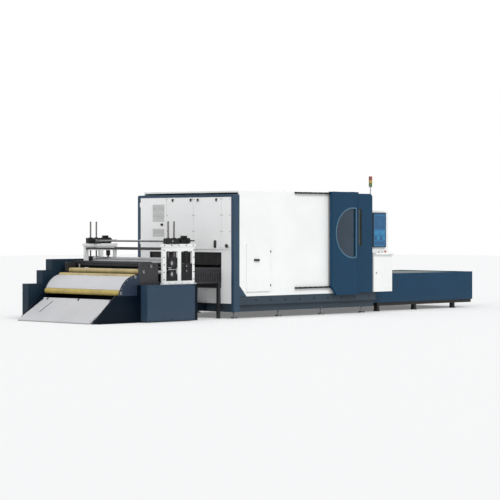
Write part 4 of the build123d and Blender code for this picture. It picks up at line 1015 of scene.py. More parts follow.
NODE_SKINS: dict[Skin, tuple[str, ...]] = {
    # The infeed base and the gantry supports take the navy that is darkened as painted shade.
    Skin.BASE_COAT: ("infeed_base", "gantry_supports"),
    Skin.COVER_COAT: ("infeed_front_cover",),
    Skin.STEP_COAT: ("drive_housing",),
    Skin.GREY_COAT: ("ramp_plate", "arc_apron"),
    Skin.ARC_COAT: ("arc_side_plates",),
    Skin.DARK_STEEL: ("entry_frames", "feeder_ties", "transfer_table"),
    Skin.SHAFT_STEEL: (
        "front_edge_guide", "rear_edge_guide", "cross_shaft", "tail_roller", "drive_roller",
    ),
    Skin.FRAME_COAT: ("feeder_frames",),
    Skin.BLACKENED: ("fixed_bearings", "upper_chocks"),
    Skin.BLACK_COAT: ("lift_drives", "door_rails", "carriage", "conveyor_frame"),
    Skin.BED_COAT: ("bed",),
    Skin.ZINC: ("levelling_feet",),
    Skin.NAVY_COAT: ("inlet_portal",),
    Skin.END_COAT: ("end_wall", "service_panels", "cabinet_door"),
    Skin.PLASTIC: ("panel_handles", "cabinet_latch", "access_handle", "console_screen"),
    Skin.WHITE_COAT: ("front_wall", "access_door", "roof", "rear_wall", "console_cabinet"),
    Skin.DOOR_COAT: ("sliding_door", "outlet_portal", "conveyor_skirt"),
    Skin.DOOR_PANE: ("door_window",),
    Skin.TRIM_COAT: ("window_trim",),
    Skin.PANE: ("strip_window",),
    Skin.SLAT_STEEL: ("slat_bed",),
    Skin.ALUMINIUM: ("gantry", "cutting_head", "signal_pole"),
    Skin.GREEN: ("start_button",),
    Skin.RED: ("emergency_stop",),
    Skin.BELT: ("conveyor_belt",),
}


@dataclass
class Assembly:
    """A part of the line whose CAD forms get their details.

    Attributes:
        screws: Sets the fields of fasteners.
    """

    screws: FastenerSetter

    def build(self) -> None:
        """Adds the details."""
        raise NotImplementedError


@dataclass
class Feeder(Assembly):
    """Servo roll feeder: bolts, bearing caps, threaded spindles and gearmotor fittings.

    Attributes:
        rolls: Each roll's node and the body, outer and inner radius and screws of its caps.
    """

    inset: float = 0.022
    flange_top: float = 0.014
    flange_half: float = 0.011
    bar_drop: float = 0.023
    bar_half: float = 0.01125
    cap_rise: float = 0.006
    seal_width: float = 0.008
    seal_rise: float = 0.009
    thread_pitch: float = 0.006
    thread_depth: float = 0.0012
    spindle_r: float = 0.014
    drive_half: float = 0.042
    jack_top: float = 0.092
    jack_reach: tuple[float, float] = (0.122, 0.028)
    motor_z: float = 0.052
    motor_tail: float = 0.135
    terminal_half: float = 0.034
    rolls: tuple[tuple[str, str, float, float, int], ...] = (
        ("lower_feed_roll", "machine", 0.062, 0.035, 6),
        ("upper_feed_roll", "roll_lift", 0.062, 0.035, 6),
        ("lower_exit_roll", "machine", 0.033, 0.018, 4),
        ("upper_exit_roll", "machine", 0.033, 0.018, 4),
    )

    def frame_bolts(self) -> None:
        """Bolts round both window frames and along their foot flanges."""
        box = box_of("feeder_frames")
        low, high = box
        x0, x1 = low.x + self.inset, high.x - self.inset * 1.5
        posts = (low.x + 0.05, high.x - 0.04)
        for name, y, way in box.sides():
            out = (0.0, way, 0.0)
            feet = grid(run(x0, x1, 6), y - way * self.flange_half, low.z + self.flange_top)
            self.screws.field(f"{name}_foot_bolts", BOLT, UP, feet)
            bar_y, bar_z = y - way * self.bar_half, high.z - self.bar_drop
            bar = grid(run(x0 + 0.03, x1 - 0.03, 5), bar_y, bar_z)
            self.screws.field(f"{name}_bar_screws", CAP_SCREW, out, bar)
            plate = grid(posts, y - way * 2 * self.bar_half, run(low.z + 0.08, high.z - 0.10, 5))
            self.screws.field(f"{name}_post_screws", CAP_SCREW, out, plate)

    def bearing_caps(self) -> None:
        """Round bearing caps with their bolt circles on both ends of every roll."""
        small = Fastener(0.0045, 0.004, 0.006, 12, Skin.BLACKENED, 0.001)
        for node, body, outer, inner, count in self.rolls:
            box = box_of(node)
            angles = [math.tau * (step + 0.5) / count for step in range(count)]
            radius = (outer + inner + self.seal_width) / 2
            for side, y, way in box.sides():
                centre = (box.x, y, box.z)
                cap = Shape(f"{node}_{side}_cap", Skin.DARK_STEEL)
                cap.washer(centre, Axis.Y, inner + 0.002, outer, self.cap_rise, 40, way)
                cap.paint(Skin.BLACKENED).washer(
                    centre, Axis.Y, inner + 0.0005, inner + self.seal_width, self.seal_rise, 40,
                    way,
                ).piece(body)
                places = ring((box.x, y + way * self.cap_rise, box.z), radius, angles, Axis.Y)
                self.screws.field(
                    f"{node}_{side}_screws", small, (0.0, way, 0.0), places, body
                )

    def spindles(self) -> None:
        """Lifting spindles with a rolled thread between plain ends."""
        low, high = box_of("lift_spindles")
        radius, depth, length = self.spindle_r, self.thread_depth, high.z - low.z
        profile = [(0.0, radius)]
        for turn in range(int((length - 0.03) / self.thread_pitch)):
            start = 0.02 + turn * self.thread_pitch
            profile += [(start, radius - depth), (start + self.thread_pitch / 2, radius)]
        profile += [(length - 0.003, radius - depth), (length, radius - 3 * depth)]
        threads = Shape("threaded_spindles", Skin.SPINDLE_STEEL)
        xs, ys = (low.x + radius, high.x - radius), (low.y + radius, high.y - radius)
        for foot in grid(xs, ys, low.z):
            threads.turned(foot, Axis.Z, profile, 20)
        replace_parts(threads.piece("roll_lift", 20.0), "lift_spindles")

    def jacks(self) -> None:
        """Cap screws, oil plugs and grease nipples on the jack housings."""
        low, high = box_of("lift_drives")
        x, top = box_of("lift_spindles").x, low.z + self.jack_top
        reach_x, reach_y = self.jack_reach
        fittings = Shape("jack_fittings", Skin.SHAFT_STEEL)
        places = []
        for y in (low.y + self.drive_half, high.y - self.drive_half):
            places += grid((x - reach_x, x + reach_x), (y - reach_y, y + reach_y), top)
            fittings.rod((x, y, top), Axis.Z, 0.009, 0.007, 6)
            fittings.rod((x - 0.02, y - 0.025, top), Axis.Z, 0.004, 0.012, 12, 0.001)
        self.screws.field("jack_screws", CAP_SCREW, UP, places)
        fittings.piece()

    def motors(self) -> None:
        """Terminal box with its lid, fan cowl and two hexagonal fittings on each gearmotor."""
        low, high = box_of("lift_drives")
        end, z, half = high.x - self.motor_tail, low.z + self.motor_z, self.terminal_half
        x0, x1, top = end - 0.16, end - 0.07, z + 0.084
        small = Fastener(0.0035, 0.002, 0.005, 12, Skin.ZINC, 0.0008)
        for name, y in (("front", low.y + self.drive_half), ("rear", high.y - self.drive_half)):
            box = Shape(f"{name}_motor_fittings", Skin.BLACK_COAT)
            box.block((x0, y - half, z + 0.044), (x1, y + half, top), 0.004)
            box.block((x0 - 0.004, y - half - 0.003, z + 0.070),
                      (x1 + 0.004, y + half + 0.003, z + 0.076), 0.002)
            box.rod((end - 0.115, y - half, z + 0.06), Axis.Y, 0.010, 0.014, 6, 0.0, -1.0)
            box.washer((end - 0.055, y, z), Axis.X, 0.040, 0.0505, 0.050, 40)
            box.paint(Skin.SHAFT_STEEL).rod((end + 0.100, y, z), Axis.X, 0.0135, 0.006, 6).piece()
            corners = grid((x0 + 0.008, x0 + 0.082), (y - 0.026, y + 0.026), top)
            self.screws.field(f"{name}_terminal_screws", small, UP, corners)

    def build(self) -> None:
        """Adds the feeder's details."""
        self.frame_bolts()
        self.bearing_caps()
        self.spindles()
        self.jacks()
        self.motors()
        for node, *_ in self.rolls:
            dress_node(node, Skin.ROLL_CHROME, width=0.0015)


@dataclass
class Infeed(Assembly):
    """Infeed base, ramp, arc table and entry guide with their screws and collars."""

    journal: float = 0.0165
    eye_r: float = 0.024
    floor_gap: float = 0.003
    ramp_length: float = 0.648
    slot_span: tuple[float, float] = (0.10, 0.63)
    slot_inset: float = 0.300
    slot_half: float = 0.013
    arc_rise: float = 0.067
    arc_back: float = 0.064
    arc_edge: float = 0.024
    cover_inset: tuple[float, float] = (0.035, 0.022)
    louvre_pitch: float = 0.022
    sleeves: tuple[tuple[str, Skin], ...] = (
        ("lower_strip_roller", Skin.YELLOW_SLEEVE), ("upper_strip_roller", Skin.TAN_SLEEVE),
        ("top_strip_roller", Skin.TAN_SLEEVE), ("holddown_roller", Skin.BLACKENED),
    )

    def drive_cover(self) -> None:
        """Vent louvres, seams and screws on the stepped cover of the roll drive."""
        low, high = box_of("drive_housing")
        back = high.y - 0.001
        seams = Shape("drive_cover_seams", Skin.STEP_COAT)
        first, last = high.x - 1.05, high.x - 0.12
        for x in run(first, last, 3):
            seams.block((x - 0.015, back, low.z + 0.02), (x + 0.015, high.y + 0.002, high.z - 0.05),
                        0.001)
        grilles = Shape("drive_cover_louvres", Skin.STEP_COAT)
        for row in range(9):
            z = low.z + 0.12 + row * self.louvre_pitch
            grilles.block((first + 0.08, back, z), (first + 0.36, high.y + 0.004, z + 0.008), 0.002)
        seams.piece()
        grilles.piece()
        rows = grid(run(first + 0.03, last - 0.03, 6), high.y, (low.z + 0.06, high.z - 0.06))
        self.screws.field("drive_cover_screws", DARK_SCREW, FAR, rows)

    def rollers(self) -> None:
        """Sleeved rollers on bright journals, each with retaining collars."""
        for node, skin in self.sleeves:
            box = box_of(node)
            mesh = dress_node(node, skin, Skin.SHAFT_STEEL, width=0.0015).data
            for face in mesh.polygons:
                corners = (mesh.vertices[index].co for index in face.vertices)
                reach = max(math.hypot(co.x - box.x, co.z - box.z) for co in corners)
                face.material_index = int(reach < self.journal)
            ends = Shape(f"{node}_collars", Skin.SHAFT_STEEL)
            for _, y, way in box.sides():
                centre = (box.x, y, box.z)
                ends.washer(centre, Axis.Y, 0.0155, 0.027, 0.006, 32, way)
                ends.rod(centre, Axis.Y, 0.0145, 0.003, 24, 0.001, way)
                clip = (box.x, y + way * 0.003, box.z)
                ends.washer(clip, Axis.Y, 0.020, 0.0235, 0.0045, 32, way)
            ends.piece(body_of(node))

    def arc_screws(self) -> None:
        """Screws along the curved rim of the near arc plate."""
        low, high = box_of("arc_side_plates")
        radius = high.z - low.z + self.arc_rise
        centre = (high.x - self.arc_back, low.y, high.z - radius)
        angles = [math.radians(96 + 14 * step) for step in range(6)]
        places = ring(centre, radius - self.arc_edge, angles, Axis.Y)
        self.screws.field("arc_rim_screws", PANEL_SCREW, NEAR, places)

    def cover_screws(self) -> None:
        """Button screws round the front cover."""
        box = box_of("infeed_front_cover")
        (low, high), (aside, rise) = box, self.cover_inset
        x0, x1 = low.x + aside, high.x - aside
        rows = [(x, low.y, z) for z in (low.z + rise, high.z - rise) for x in run(x0, x1, 7)]
        rows += grid((x0, x1), low.y, box.z)
        self.screws.field("cover_screws", DARK_SCREW, NEAR, rows)

    def entry_screws(self) -> None:
        """Bolts that tie the entry frame to the base and to its cross bars."""
        box = box_of("entry_frames")
        low, high = box
        for side, y, way in box.sides():
            rows = grid(run(low.x + 0.04, high.x - 0.04, 5), y, low.z + 0.030)
            rows += grid(run(low.x + 0.09, high.x - 0.09, 3), y, high.z - 0.060)
            self.screws.field(f"entry_{side}_bolts", CAP_SCREW, (0.0, way, 0.0), rows)

    def ramp(self) -> None:
        """Rivets along both edges of the ramp and a black bar in its slot as painted shade."""
        low, high = box_of("ramp_plate")
        pivot = Vector((high.x - self.eye_r, 0.0, high.z - self.eye_r))
        half = self.eye_r / 2
        slope = math.asin((pivot.z - half - self.floor_gap) / self.ramp_length)
        normal = Vector((-math.sin(slope), 0.0, math.cos(slope)))
        along = Vector((-math.cos(slope), 0.0, -math.sin(slope)))
        line = [pivot + normal * half + along * share * self.ramp_length
                for share in run(0.13, 0.90, 6)]
        places = [(point.x, y, point.z) for y in (low.y + 0.03, high.y - 0.03) for point in line]
        rivet = Fastener(0.007, 0.0012, 0.0085, 20, Skin.ZINC, 0.0006)
        self.screws.field("ramp_rivets", rivet, tuple(normal), places, "ramp")
        start, end = (share * self.ramp_length for share in self.slot_span)
        y, clear = high.y - self.slot_inset, self.slot_half - 0.0008
        # A black rubber bar fills the ramp's slot as painted shade for the slot's dark inside.
        bar = Shape("ramp_guide_bar", Skin.GASKET).block(
            (pivot.x - end + self.slot_half, y - clear, pivot.z - half),
            (pivot.x - start - self.slot_half, y + clear, pivot.z + half - 0.002), 0.002,
        )
        bar.tilt(tuple(pivot), -slope).piece("ramp")

    def build(self) -> None:
        """Adds the infeed's details."""
        self.drive_cover()
        self.rollers()
        self.arc_screws()
        self.cover_screws()
        self.entry_screws()
        self.ramp()


@dataclass
class EndWall(Assembly):
    """Inlet end wall: louvre backing, seals, strip curtain and panel screws.

    Attributes:
        louvres_y: Offsets of the louvre fields' sides from the cabinet door's near edge.
        fields: Foot height and number of rows of each louvre field.
        panel_y: Offsets of the joints between the service panels from their near edge.
    """

    louvres_y: tuple[float, float] = (0.046, 0.348)
    fields: tuple[tuple[float, int], ...] = ((1.646, 15), (1.385, 7))
    pitch: float = 0.020
    panel_y: tuple[float, float] = (0.221, 0.911)
    recess: float = 0.030
    curtain_top: float = 1.116
    curtain_drop: float = 0.215
    flaps: int = 22
    trim_span: tuple[float, float] = (0.600, 1.118)

    def louvres(self) -> None:
        """Dark filter mats behind the louvre slots and a pressed lip over each slot."""
        low, _ = box_of("cabinet_door")
        x = low.x + 0.004
        y0, y1 = (low.y + offset for offset in self.louvres_y)
        mats = Shape("louvre_mats", Skin.GASKET)
        lips = Shape("louvre_lips", Skin.END_COAT)
        for first, rows in self.fields:
            top = first + self.pitch * rows - 0.012
            mats.block((x + 0.0055, y0 + 0.001, first), (x + 0.0068, y1 - 0.001, top))
            for row in range(rows):
                z = first + self.pitch * row
                lips.block((x - 0.0025, y0, z + 0.007), (x + 0.003, y1, z + 0.0105), 0.001)
        mats.piece("cabinet_door")
        lips.piece("cabinet_door")

    def panel_screws(self) -> None:
        """Quarter-turn screws of the service panels and the lower wall fields."""
        low, high = box_of("service_panels")
        edges = (low.y, *(low.y + offset for offset in self.panel_y), high.y)
        ys = [y for start, end in zip(edges, edges[1:]) for y in (start + 0.022, end - 0.022)]
        places = grid(low.x, ys, run(low.z + 0.03, high.z - 0.03, 4))
        self.screws.field("panel_screws", PANEL_SCREW, BACK, places)
        wall_low, wall_high = box_of("end_wall")
        inlet_low, inlet_high = box_of("transfer_table")
        rows = [(wall_high.x - self.recess, y, z)
                for z in (wall_low.z + 0.03, wall_low.z + 0.22)
                for y in run(inlet_low.y + 0.02, inlet_high.y - 0.02, 6)]
        self.screws.field("lower_wall_screws", PANEL_SCREW, BACK, rows)

    def curtain(self) -> None:
        """Rubber strip curtain inside the upper part of the inlet, and the inlet's edge trim."""
        back = box_of("end_wall").high.x
        low, high = box_of("transfer_table")
        top, width = self.curtain_top, (high.y - low.y) / self.flaps
        flaps = Shape("inlet_strip_curtain", Skin.GASKET)
        for index in range(self.flaps):
            y, x = low.y + index * width, back - 0.012 + (0.003 if index % 2 else 0.0)
            flaps.block((x, y - 0.004, top - self.curtain_drop),
                        (x + 0.0025, y + width + 0.004, top), 0.0008)
        flaps.paint(Skin.SHAFT_STEEL).block(
            (back - 0.016, low.y, top - 0.028), (back - 0.0125, high.y, top - 0.004), 0.001
        ).piece()
        x0, x1, (foot, head) = back - self.recess - 0.004, back, self.trim_span
        trim = Shape("inlet_edge_trim", Skin.GASKET)
        for y in (low.y - 0.004, high.y - 0.008):
            trim.block((x0, y, foot), (x1, y + 0.012, head), 0.002)
        trim.block((x0, low.y, head - 0.010), (x1, high.y, head), 0.002).piece()

    def portal_screws(self) -> None:
        """Screws up both posts and along the lintel of the inlet portal."""
        box = box_of("inlet_portal")
        low, high = box
        posts = (low.y + 0.032, high.y - 0.032)
        places = grid(low.x, posts, run(low.z + 0.12, high.z - 0.10, 6))
        places += grid(low.x, run(low.y + 0.18, high.y - 0.18, 7), high.z - 0.022)
        self.screws.field("portal_face_screws", DARK_SCREW, BACK, places)
        for name, y, way in box.sides():
            rows = grid(low.x + 0.067, y, run(low.z + 0.10, high.z - 0.10, 5))
            self.screws.field(f"portal_{name}_screws", DARK_SCREW, (0.0, way, 0.0), rows)

    def build(self) -> None:
        """Adds the end wall's details."""
        self.louvres()
        self.panel_screws()
        self.curtain()
        self.portal_screws()


@dataclass
class Housing(Assembly):
    """Enclosure skin: rail fittings, window seals, roof seams, bed bolts and rear screws."""

    rail_gap: float = 0.1
    flange: tuple[float, float] = (0.004, 0.022)
    hanger_half: float = 0.045
    seal_lip: float = 0.007
    seam_rise: float = 0.003
    spigot_gap: float = 0.05
    bed_band: float = 0.189
    foot_r: float = 0.060

    def rails(self) -> None:
        """Rail screws and rubber end stops of the sliding door."""
        hinge_x = box_of("access_door").high.x
        low, high = box_of("door_rails", lambda point: point.x > hinge_x + self.rail_gap)
        stops = Shape("rail_stops", Skin.GASKET)
        places = []
        for z in (low.z + 0.015, high.z - 0.015):
            last = box_of("sliding_door").low.x - 0.03
            places += grid(run(low.x + 0.03, last, 7), low.y, z)
            stops.block((low.x - 0.004, low.y - 0.002, z - 0.017),
                        (low.x + 0.010, low.y + 0.038, z + 0.017), 0.003)
        stops.piece()
        self.screws.field("rail_screws", PANEL_SCREW, NEAR, places)

    def door_fittings(self) -> None:
        """Flanged edges, hanger brackets and window screws of the sliding door."""
        low, high = box_of("sliding_door")
        near, far = self.flange
        edge = Shape("door_edge_flange", Skin.DOOR_COAT)
        spans = (low.x + near, low.x + far, 0.165), (high.x - far, high.x - near, 0.006)
        for x0, x1, foot in spans:
            edge.block((x0, low.y - 0.003, low.z + foot),
                       (x1, low.y + 0.001, high.z - 0.006), 0.0015)
        edge.piece("sliding_door")
        hangers = Shape("door_hangers", Skin.BLACKENED)
        for x in (low.x + 0.12, high.x - 0.12):
            hangers.block((x - self.hanger_half, high.y - 0.056, high.z - 0.0005),
                          (x + self.hanger_half, high.y - 0.004, high.z + 0.003), 0.001)
        hangers.piece("sliding_door")
        low, high = box_of("window_trim")
        places = grid(high.x - 0.013, low.y, run(low.z + 0.06, high.z - 0.06, 6))
        screw = Fastener(0.0035, 0.0012, 0.0045, 16, Skin.ZINC, 0.0005)
        self.screws.field("window_screws", screw, NEAR, places, "sliding_door")

    def strip_frame(self) -> None:
        """Rubber seal round the narrow window of the outfeed housing."""
        y, lip = box_of("outlet_portal").low.y, self.seal_lip
        edges = box_of("strip_window").inner(-lip)
        seal = Shape("strip_window_seal", Skin.GASKET)
        seal.frame(edges, (y - 0.002, y + 0.006), 2 * lip, lip, 0.0015).piece()

    def roof_and_rear(self) -> None:
        """Seams and screws of the roof and the rear wall, and the dust flange's clip and bolts."""
        low, high = box_of("roof")
        top, rear_y = high.z + self.seam_rise, high.y
        seams = Shape("roof_seams", Skin.WHITE_COAT)
        xs = run(low.x + 0.58, high.x - 0.58, 4)
        for x in xs:
            seams.block((x - 0.020, low.y + 0.03, high.z - 0.001), (x + 0.020, high.y - 0.03, top),
                        0.0015)
        seams.piece()
        places = grid(xs, run(low.y + 0.08, high.y - 0.08, 9), top)
        self.screws.field("roof_screws", PANEL_SCREW, UP, places)
        low, high = box_of("front_wall")
        rows = grid(run(low.x + 0.06, high.x - 0.06, 10), rear_y, (low.z + 0.05, high.z - 0.04))
        self.screws.field("rear_wall_screws", PANEL_SCREW, FAR, rows)
        strips = Shape("rear_panel_seams", Skin.WHITE_COAT)
        for x in run(low.x + 0.70, high.x - 0.50, 4):
            strips.block((x - 0.018, rear_y - 0.001, low.z + 0.02),
                         (x + 0.018, rear_y + 0.0025, high.z - 0.01), 0.001)
        strips.piece()
        collar = box_of("rear_wall", lambda point: point.y > rear_y + self.spigot_gap)
        start, radius = (collar.x, collar.high.y - 0.028, collar.z), collar.radius
        clip = Shape("dust_collar_clip", Skin.ZINC)
        clip.washer(start, Axis.Y, radius - 0.0005, radius + 0.0015, 0.012, 48).piece()
        angles = run(0.0, math.tau * 7 / 8, 8)
        bolts = ring((collar.x, rear_y + 0.004, collar.z), radius + 0.018, angles, Axis.Y)
        self.screws.field("dust_flange_bolts", CAP_SCREW, FAR, bolts)

    def bed_bolts(self) -> None:
        """Flange bolts along the bed and lock nuts on the levelling feet."""
        low, high = box_of("bed")
        rows = grid(run(low.x + 0.50, high.x - 0.20, 9), low.y, low.z + self.bed_band)
        self.screws.field("bed_bolts", DARK_BOLT, NEAR, rows)
        low, high = box_of("levelling_feet")
        xs = run(low.x + self.foot_r, high.x - self.foot_r, 4)
        ys = (low.y + self.foot_r, high.y - self.foot_r)
        for name, nut, rise in (
            ("foot_lock_nuts", Fastener(0.026, 0.016, 0.034, washer_height=0.003), 0.080),
            ("foot_pad_nuts", Fastener(0.024, 0.012, 0.030, washer_height=0.002), 0.022),
        ):
            self.screws.field(name, nut, UP, grid(xs, ys, low.z + rise))

    def access(self) -> None:
        """Seal behind the access door."""
        x0, x1, z0, z1 = box_of("access_door").inner(0.012)
        y = box_of("front_wall").low.y
        seal = Shape("access_door_seal", Skin.GASKET)
        seal.frame((x0, x1 - 0.018, z0, z1), (y - 0.0035, y - 0.0005), 0.010).piece("access_door")

    def build(self) -> None:
        """Adds the enclosure's details."""
        self.rails()
        self.door_fittings()
        self.strip_frame()
        self.roof_and_rear()
        self.bed_bolts()
        self.access()


@dataclass
class Chamber(Assembly):
    """Cutting chamber: cable duct, rail wipers, carriage guides and nozzle parts."""

    duct_inset: float = 0.006
    duct_width: float = 0.070
    duct_height: float = 0.036
    duct_end: float = 0.120
    lid_rise: float = 0.002
    lid_lap: float = 0.003
    wiper: float = 0.006
    guide_width: float = 0.028
    guide_rise: float = 0.005
    edge: float = 0.018
    tip_r: float = 0.0055
    tip_flare_r: float = 0.0125
    tip_share: float = 0.037
    ring_r: float = 0.0235
    drawer_half: float = 0.022
    drawer_rise: float = 0.010
    cap_bolts_r: float = 0.024

    def beam_x(self) -> float:
        """Lowest X of the gantry's beam, which its trucks stand out from."""
        top = box_of("gantry").high.z - self.wiper
        return box_of("gantry", lambda point: point.z > top).low.x

    def cable_duct(self) -> None:
        """Closed cable duct along the beam, with a lid lip and its screws."""
        low, high = box_of("gantry")
        x0, lap = self.beam_x() + self.duct_inset, self.lid_lap
        x1, y0, y1 = x0 + self.duct_width, low.y + self.duct_end, high.y - self.duct_end
        top = high.z + self.duct_height
        duct = Shape("gantry_cable_duct", Skin.BLACK_COAT)
        duct.block((x0, y0, high.z), (x1, y1, top), 0.003)
        duct.block((x0 - lap, y0 - lap, top - 0.010), (x1 + lap, y1 + lap, top + self.lid_rise),
                   0.002).piece("gantry")
        places = grid((x0 + 0.012, x1 - 0.012), run(y0 + 0.05, y1 - 0.05, 9), top + self.lid_rise)
        self.screws.field("duct_screws", PANEL_SCREW, UP, places, "gantry")

    def wipers(self) -> None:
        """Rubber wipers at both ends of the trucks and bolts on their faces."""
        box = box_of("gantry")
        low, high = box
        top = low.z + (self.beam_x() - low.x)
        wipers = Shape("truck_wipers", Skin.GASKET)
        places = []
        for _, start, way in box.sides():
            y0, y1 = sorted((start - way * self.edge, start - way * 0.10))
            for x in (low.x - self.wiper, high.x):
                wipers.block((x, y0, low.z + 0.004), (x + self.wiper, y1, top - 0.006), 0.002)
            for reach in (0.03, 0.09):
                places += grid((low.x + self.edge, high.x - self.edge), start - way * reach, top)
        wipers.piece("gantry")
        self.screws.field("truck_screws", CAP_SCREW, UP, places, "gantry")

    def carriage_cover(self) -> None:
        """Hardened guide strips beside the head, cover screws and a cable gland."""
        box = box_of("carriage")
        (low, high), edge, face = box, self.edge, box.high.x + self.guide_rise
        strips = Shape("carriage_guides", Skin.SHAFT_STEEL)
        places = []
        for y in (low.y + edge, high.y - edge - self.guide_width):
            strips.block((high.x - 0.001, y, low.z + edge),
                         (face, y + self.guide_width, high.z - edge), 0.0015)
            middle = y + self.guide_width / 2
            places += grid(face, middle, run(low.z + 2 * edge, high.z - 2 * edge, 5))
        strips.paint(Skin.PLASTIC).rod((box.x, box.y, high.z), Axis.Z, 0.019, 0.010, 6, 0.001)
        strips.rod((box.x, box.y, high.z + 0.010), Axis.Z, 0.014, 0.014, 24, 0.003)
        strips.piece("carriage")
        self.screws.field("guide_screws", CAP_SCREW, AHEAD, places, "carriage")
        for side, y, way in box.sides(("near", "far")):
            rows = grid((low.x + edge, high.x - edge), y, run(low.z + edge, high.z - edge, 3))
            name = f"carriage_{side}_screws"
            self.screws.field(name, PANEL_SCREW, (0.0, way, 0.0), rows, "carriage")

    def nozzle(self) -> None:
        """Copper tip, ceramic ring, lens drawer and gas fitting of the cutting head."""
        box = box_of("cutting_head")
        (low, high), x, y, z = box, box.x, box.y, box.z
        tip, flare, length = self.tip_r, self.tip_flare_r, self.tip_share
        head = Shape("head_fittings", Skin.COPPER).turned((x, y, low.z - 0.0005), Axis.Z, [
            (0.0, tip - 0.001), (0.001, tip), (length * 0.7, 0.0105), (length * 0.72, flare),
            (length, flare),
        ], 32)
        head.paint(Skin.CERAMIC).rod(
            (x, y, low.z + length), Axis.Z, self.ring_r, 0.0078, 40, 0.0015
        )
        face = high.x + self.drawer_rise
        head.paint(Skin.PLASTIC).block((high.x - 0.006, y - self.drawer_half, z),
                                       (face, y + self.drawer_half, z + 0.040), 0.003)
        head.paint(Skin.SHAFT_STEEL).rod((face, y, z + 0.020), Axis.X, 0.009, 0.010, 24, 0.002)
        gas = (x, y + (high.y - low.y) / 2 - 0.001, high.z - 0.060)
        head.rod(gas, Axis.Y, 0.008, 0.014, 6)
        head.rod((x, y, high.z - 0.0005), Axis.Z, 0.030, 0.006, 36, 0.002)
        head.paint(Skin.PLASTIC).rod((x, y, high.z + 0.005), Axis.Z, 0.017, 0.020, 32, 0.004)
        head.piece("cutting_head")
        angles = run(0.0, math.tau * 5 / 6, 6)
        bolts = ring((x, y, high.z + 0.0055), self.cap_bolts_r, angles, Axis.Z)
        small = Fastener(0.0022, 0.003, 0.0028, 12, Skin.BLACKENED, 0.0006)
        self.screws.field("head_cap_screws", small, UP, bolts, "cutting_head")

    def build(self) -> None:
        """Adds the chamber's details."""
        self.cable_duct()
        self.wipers()
        self.carriage_cover()
        self.nozzle()


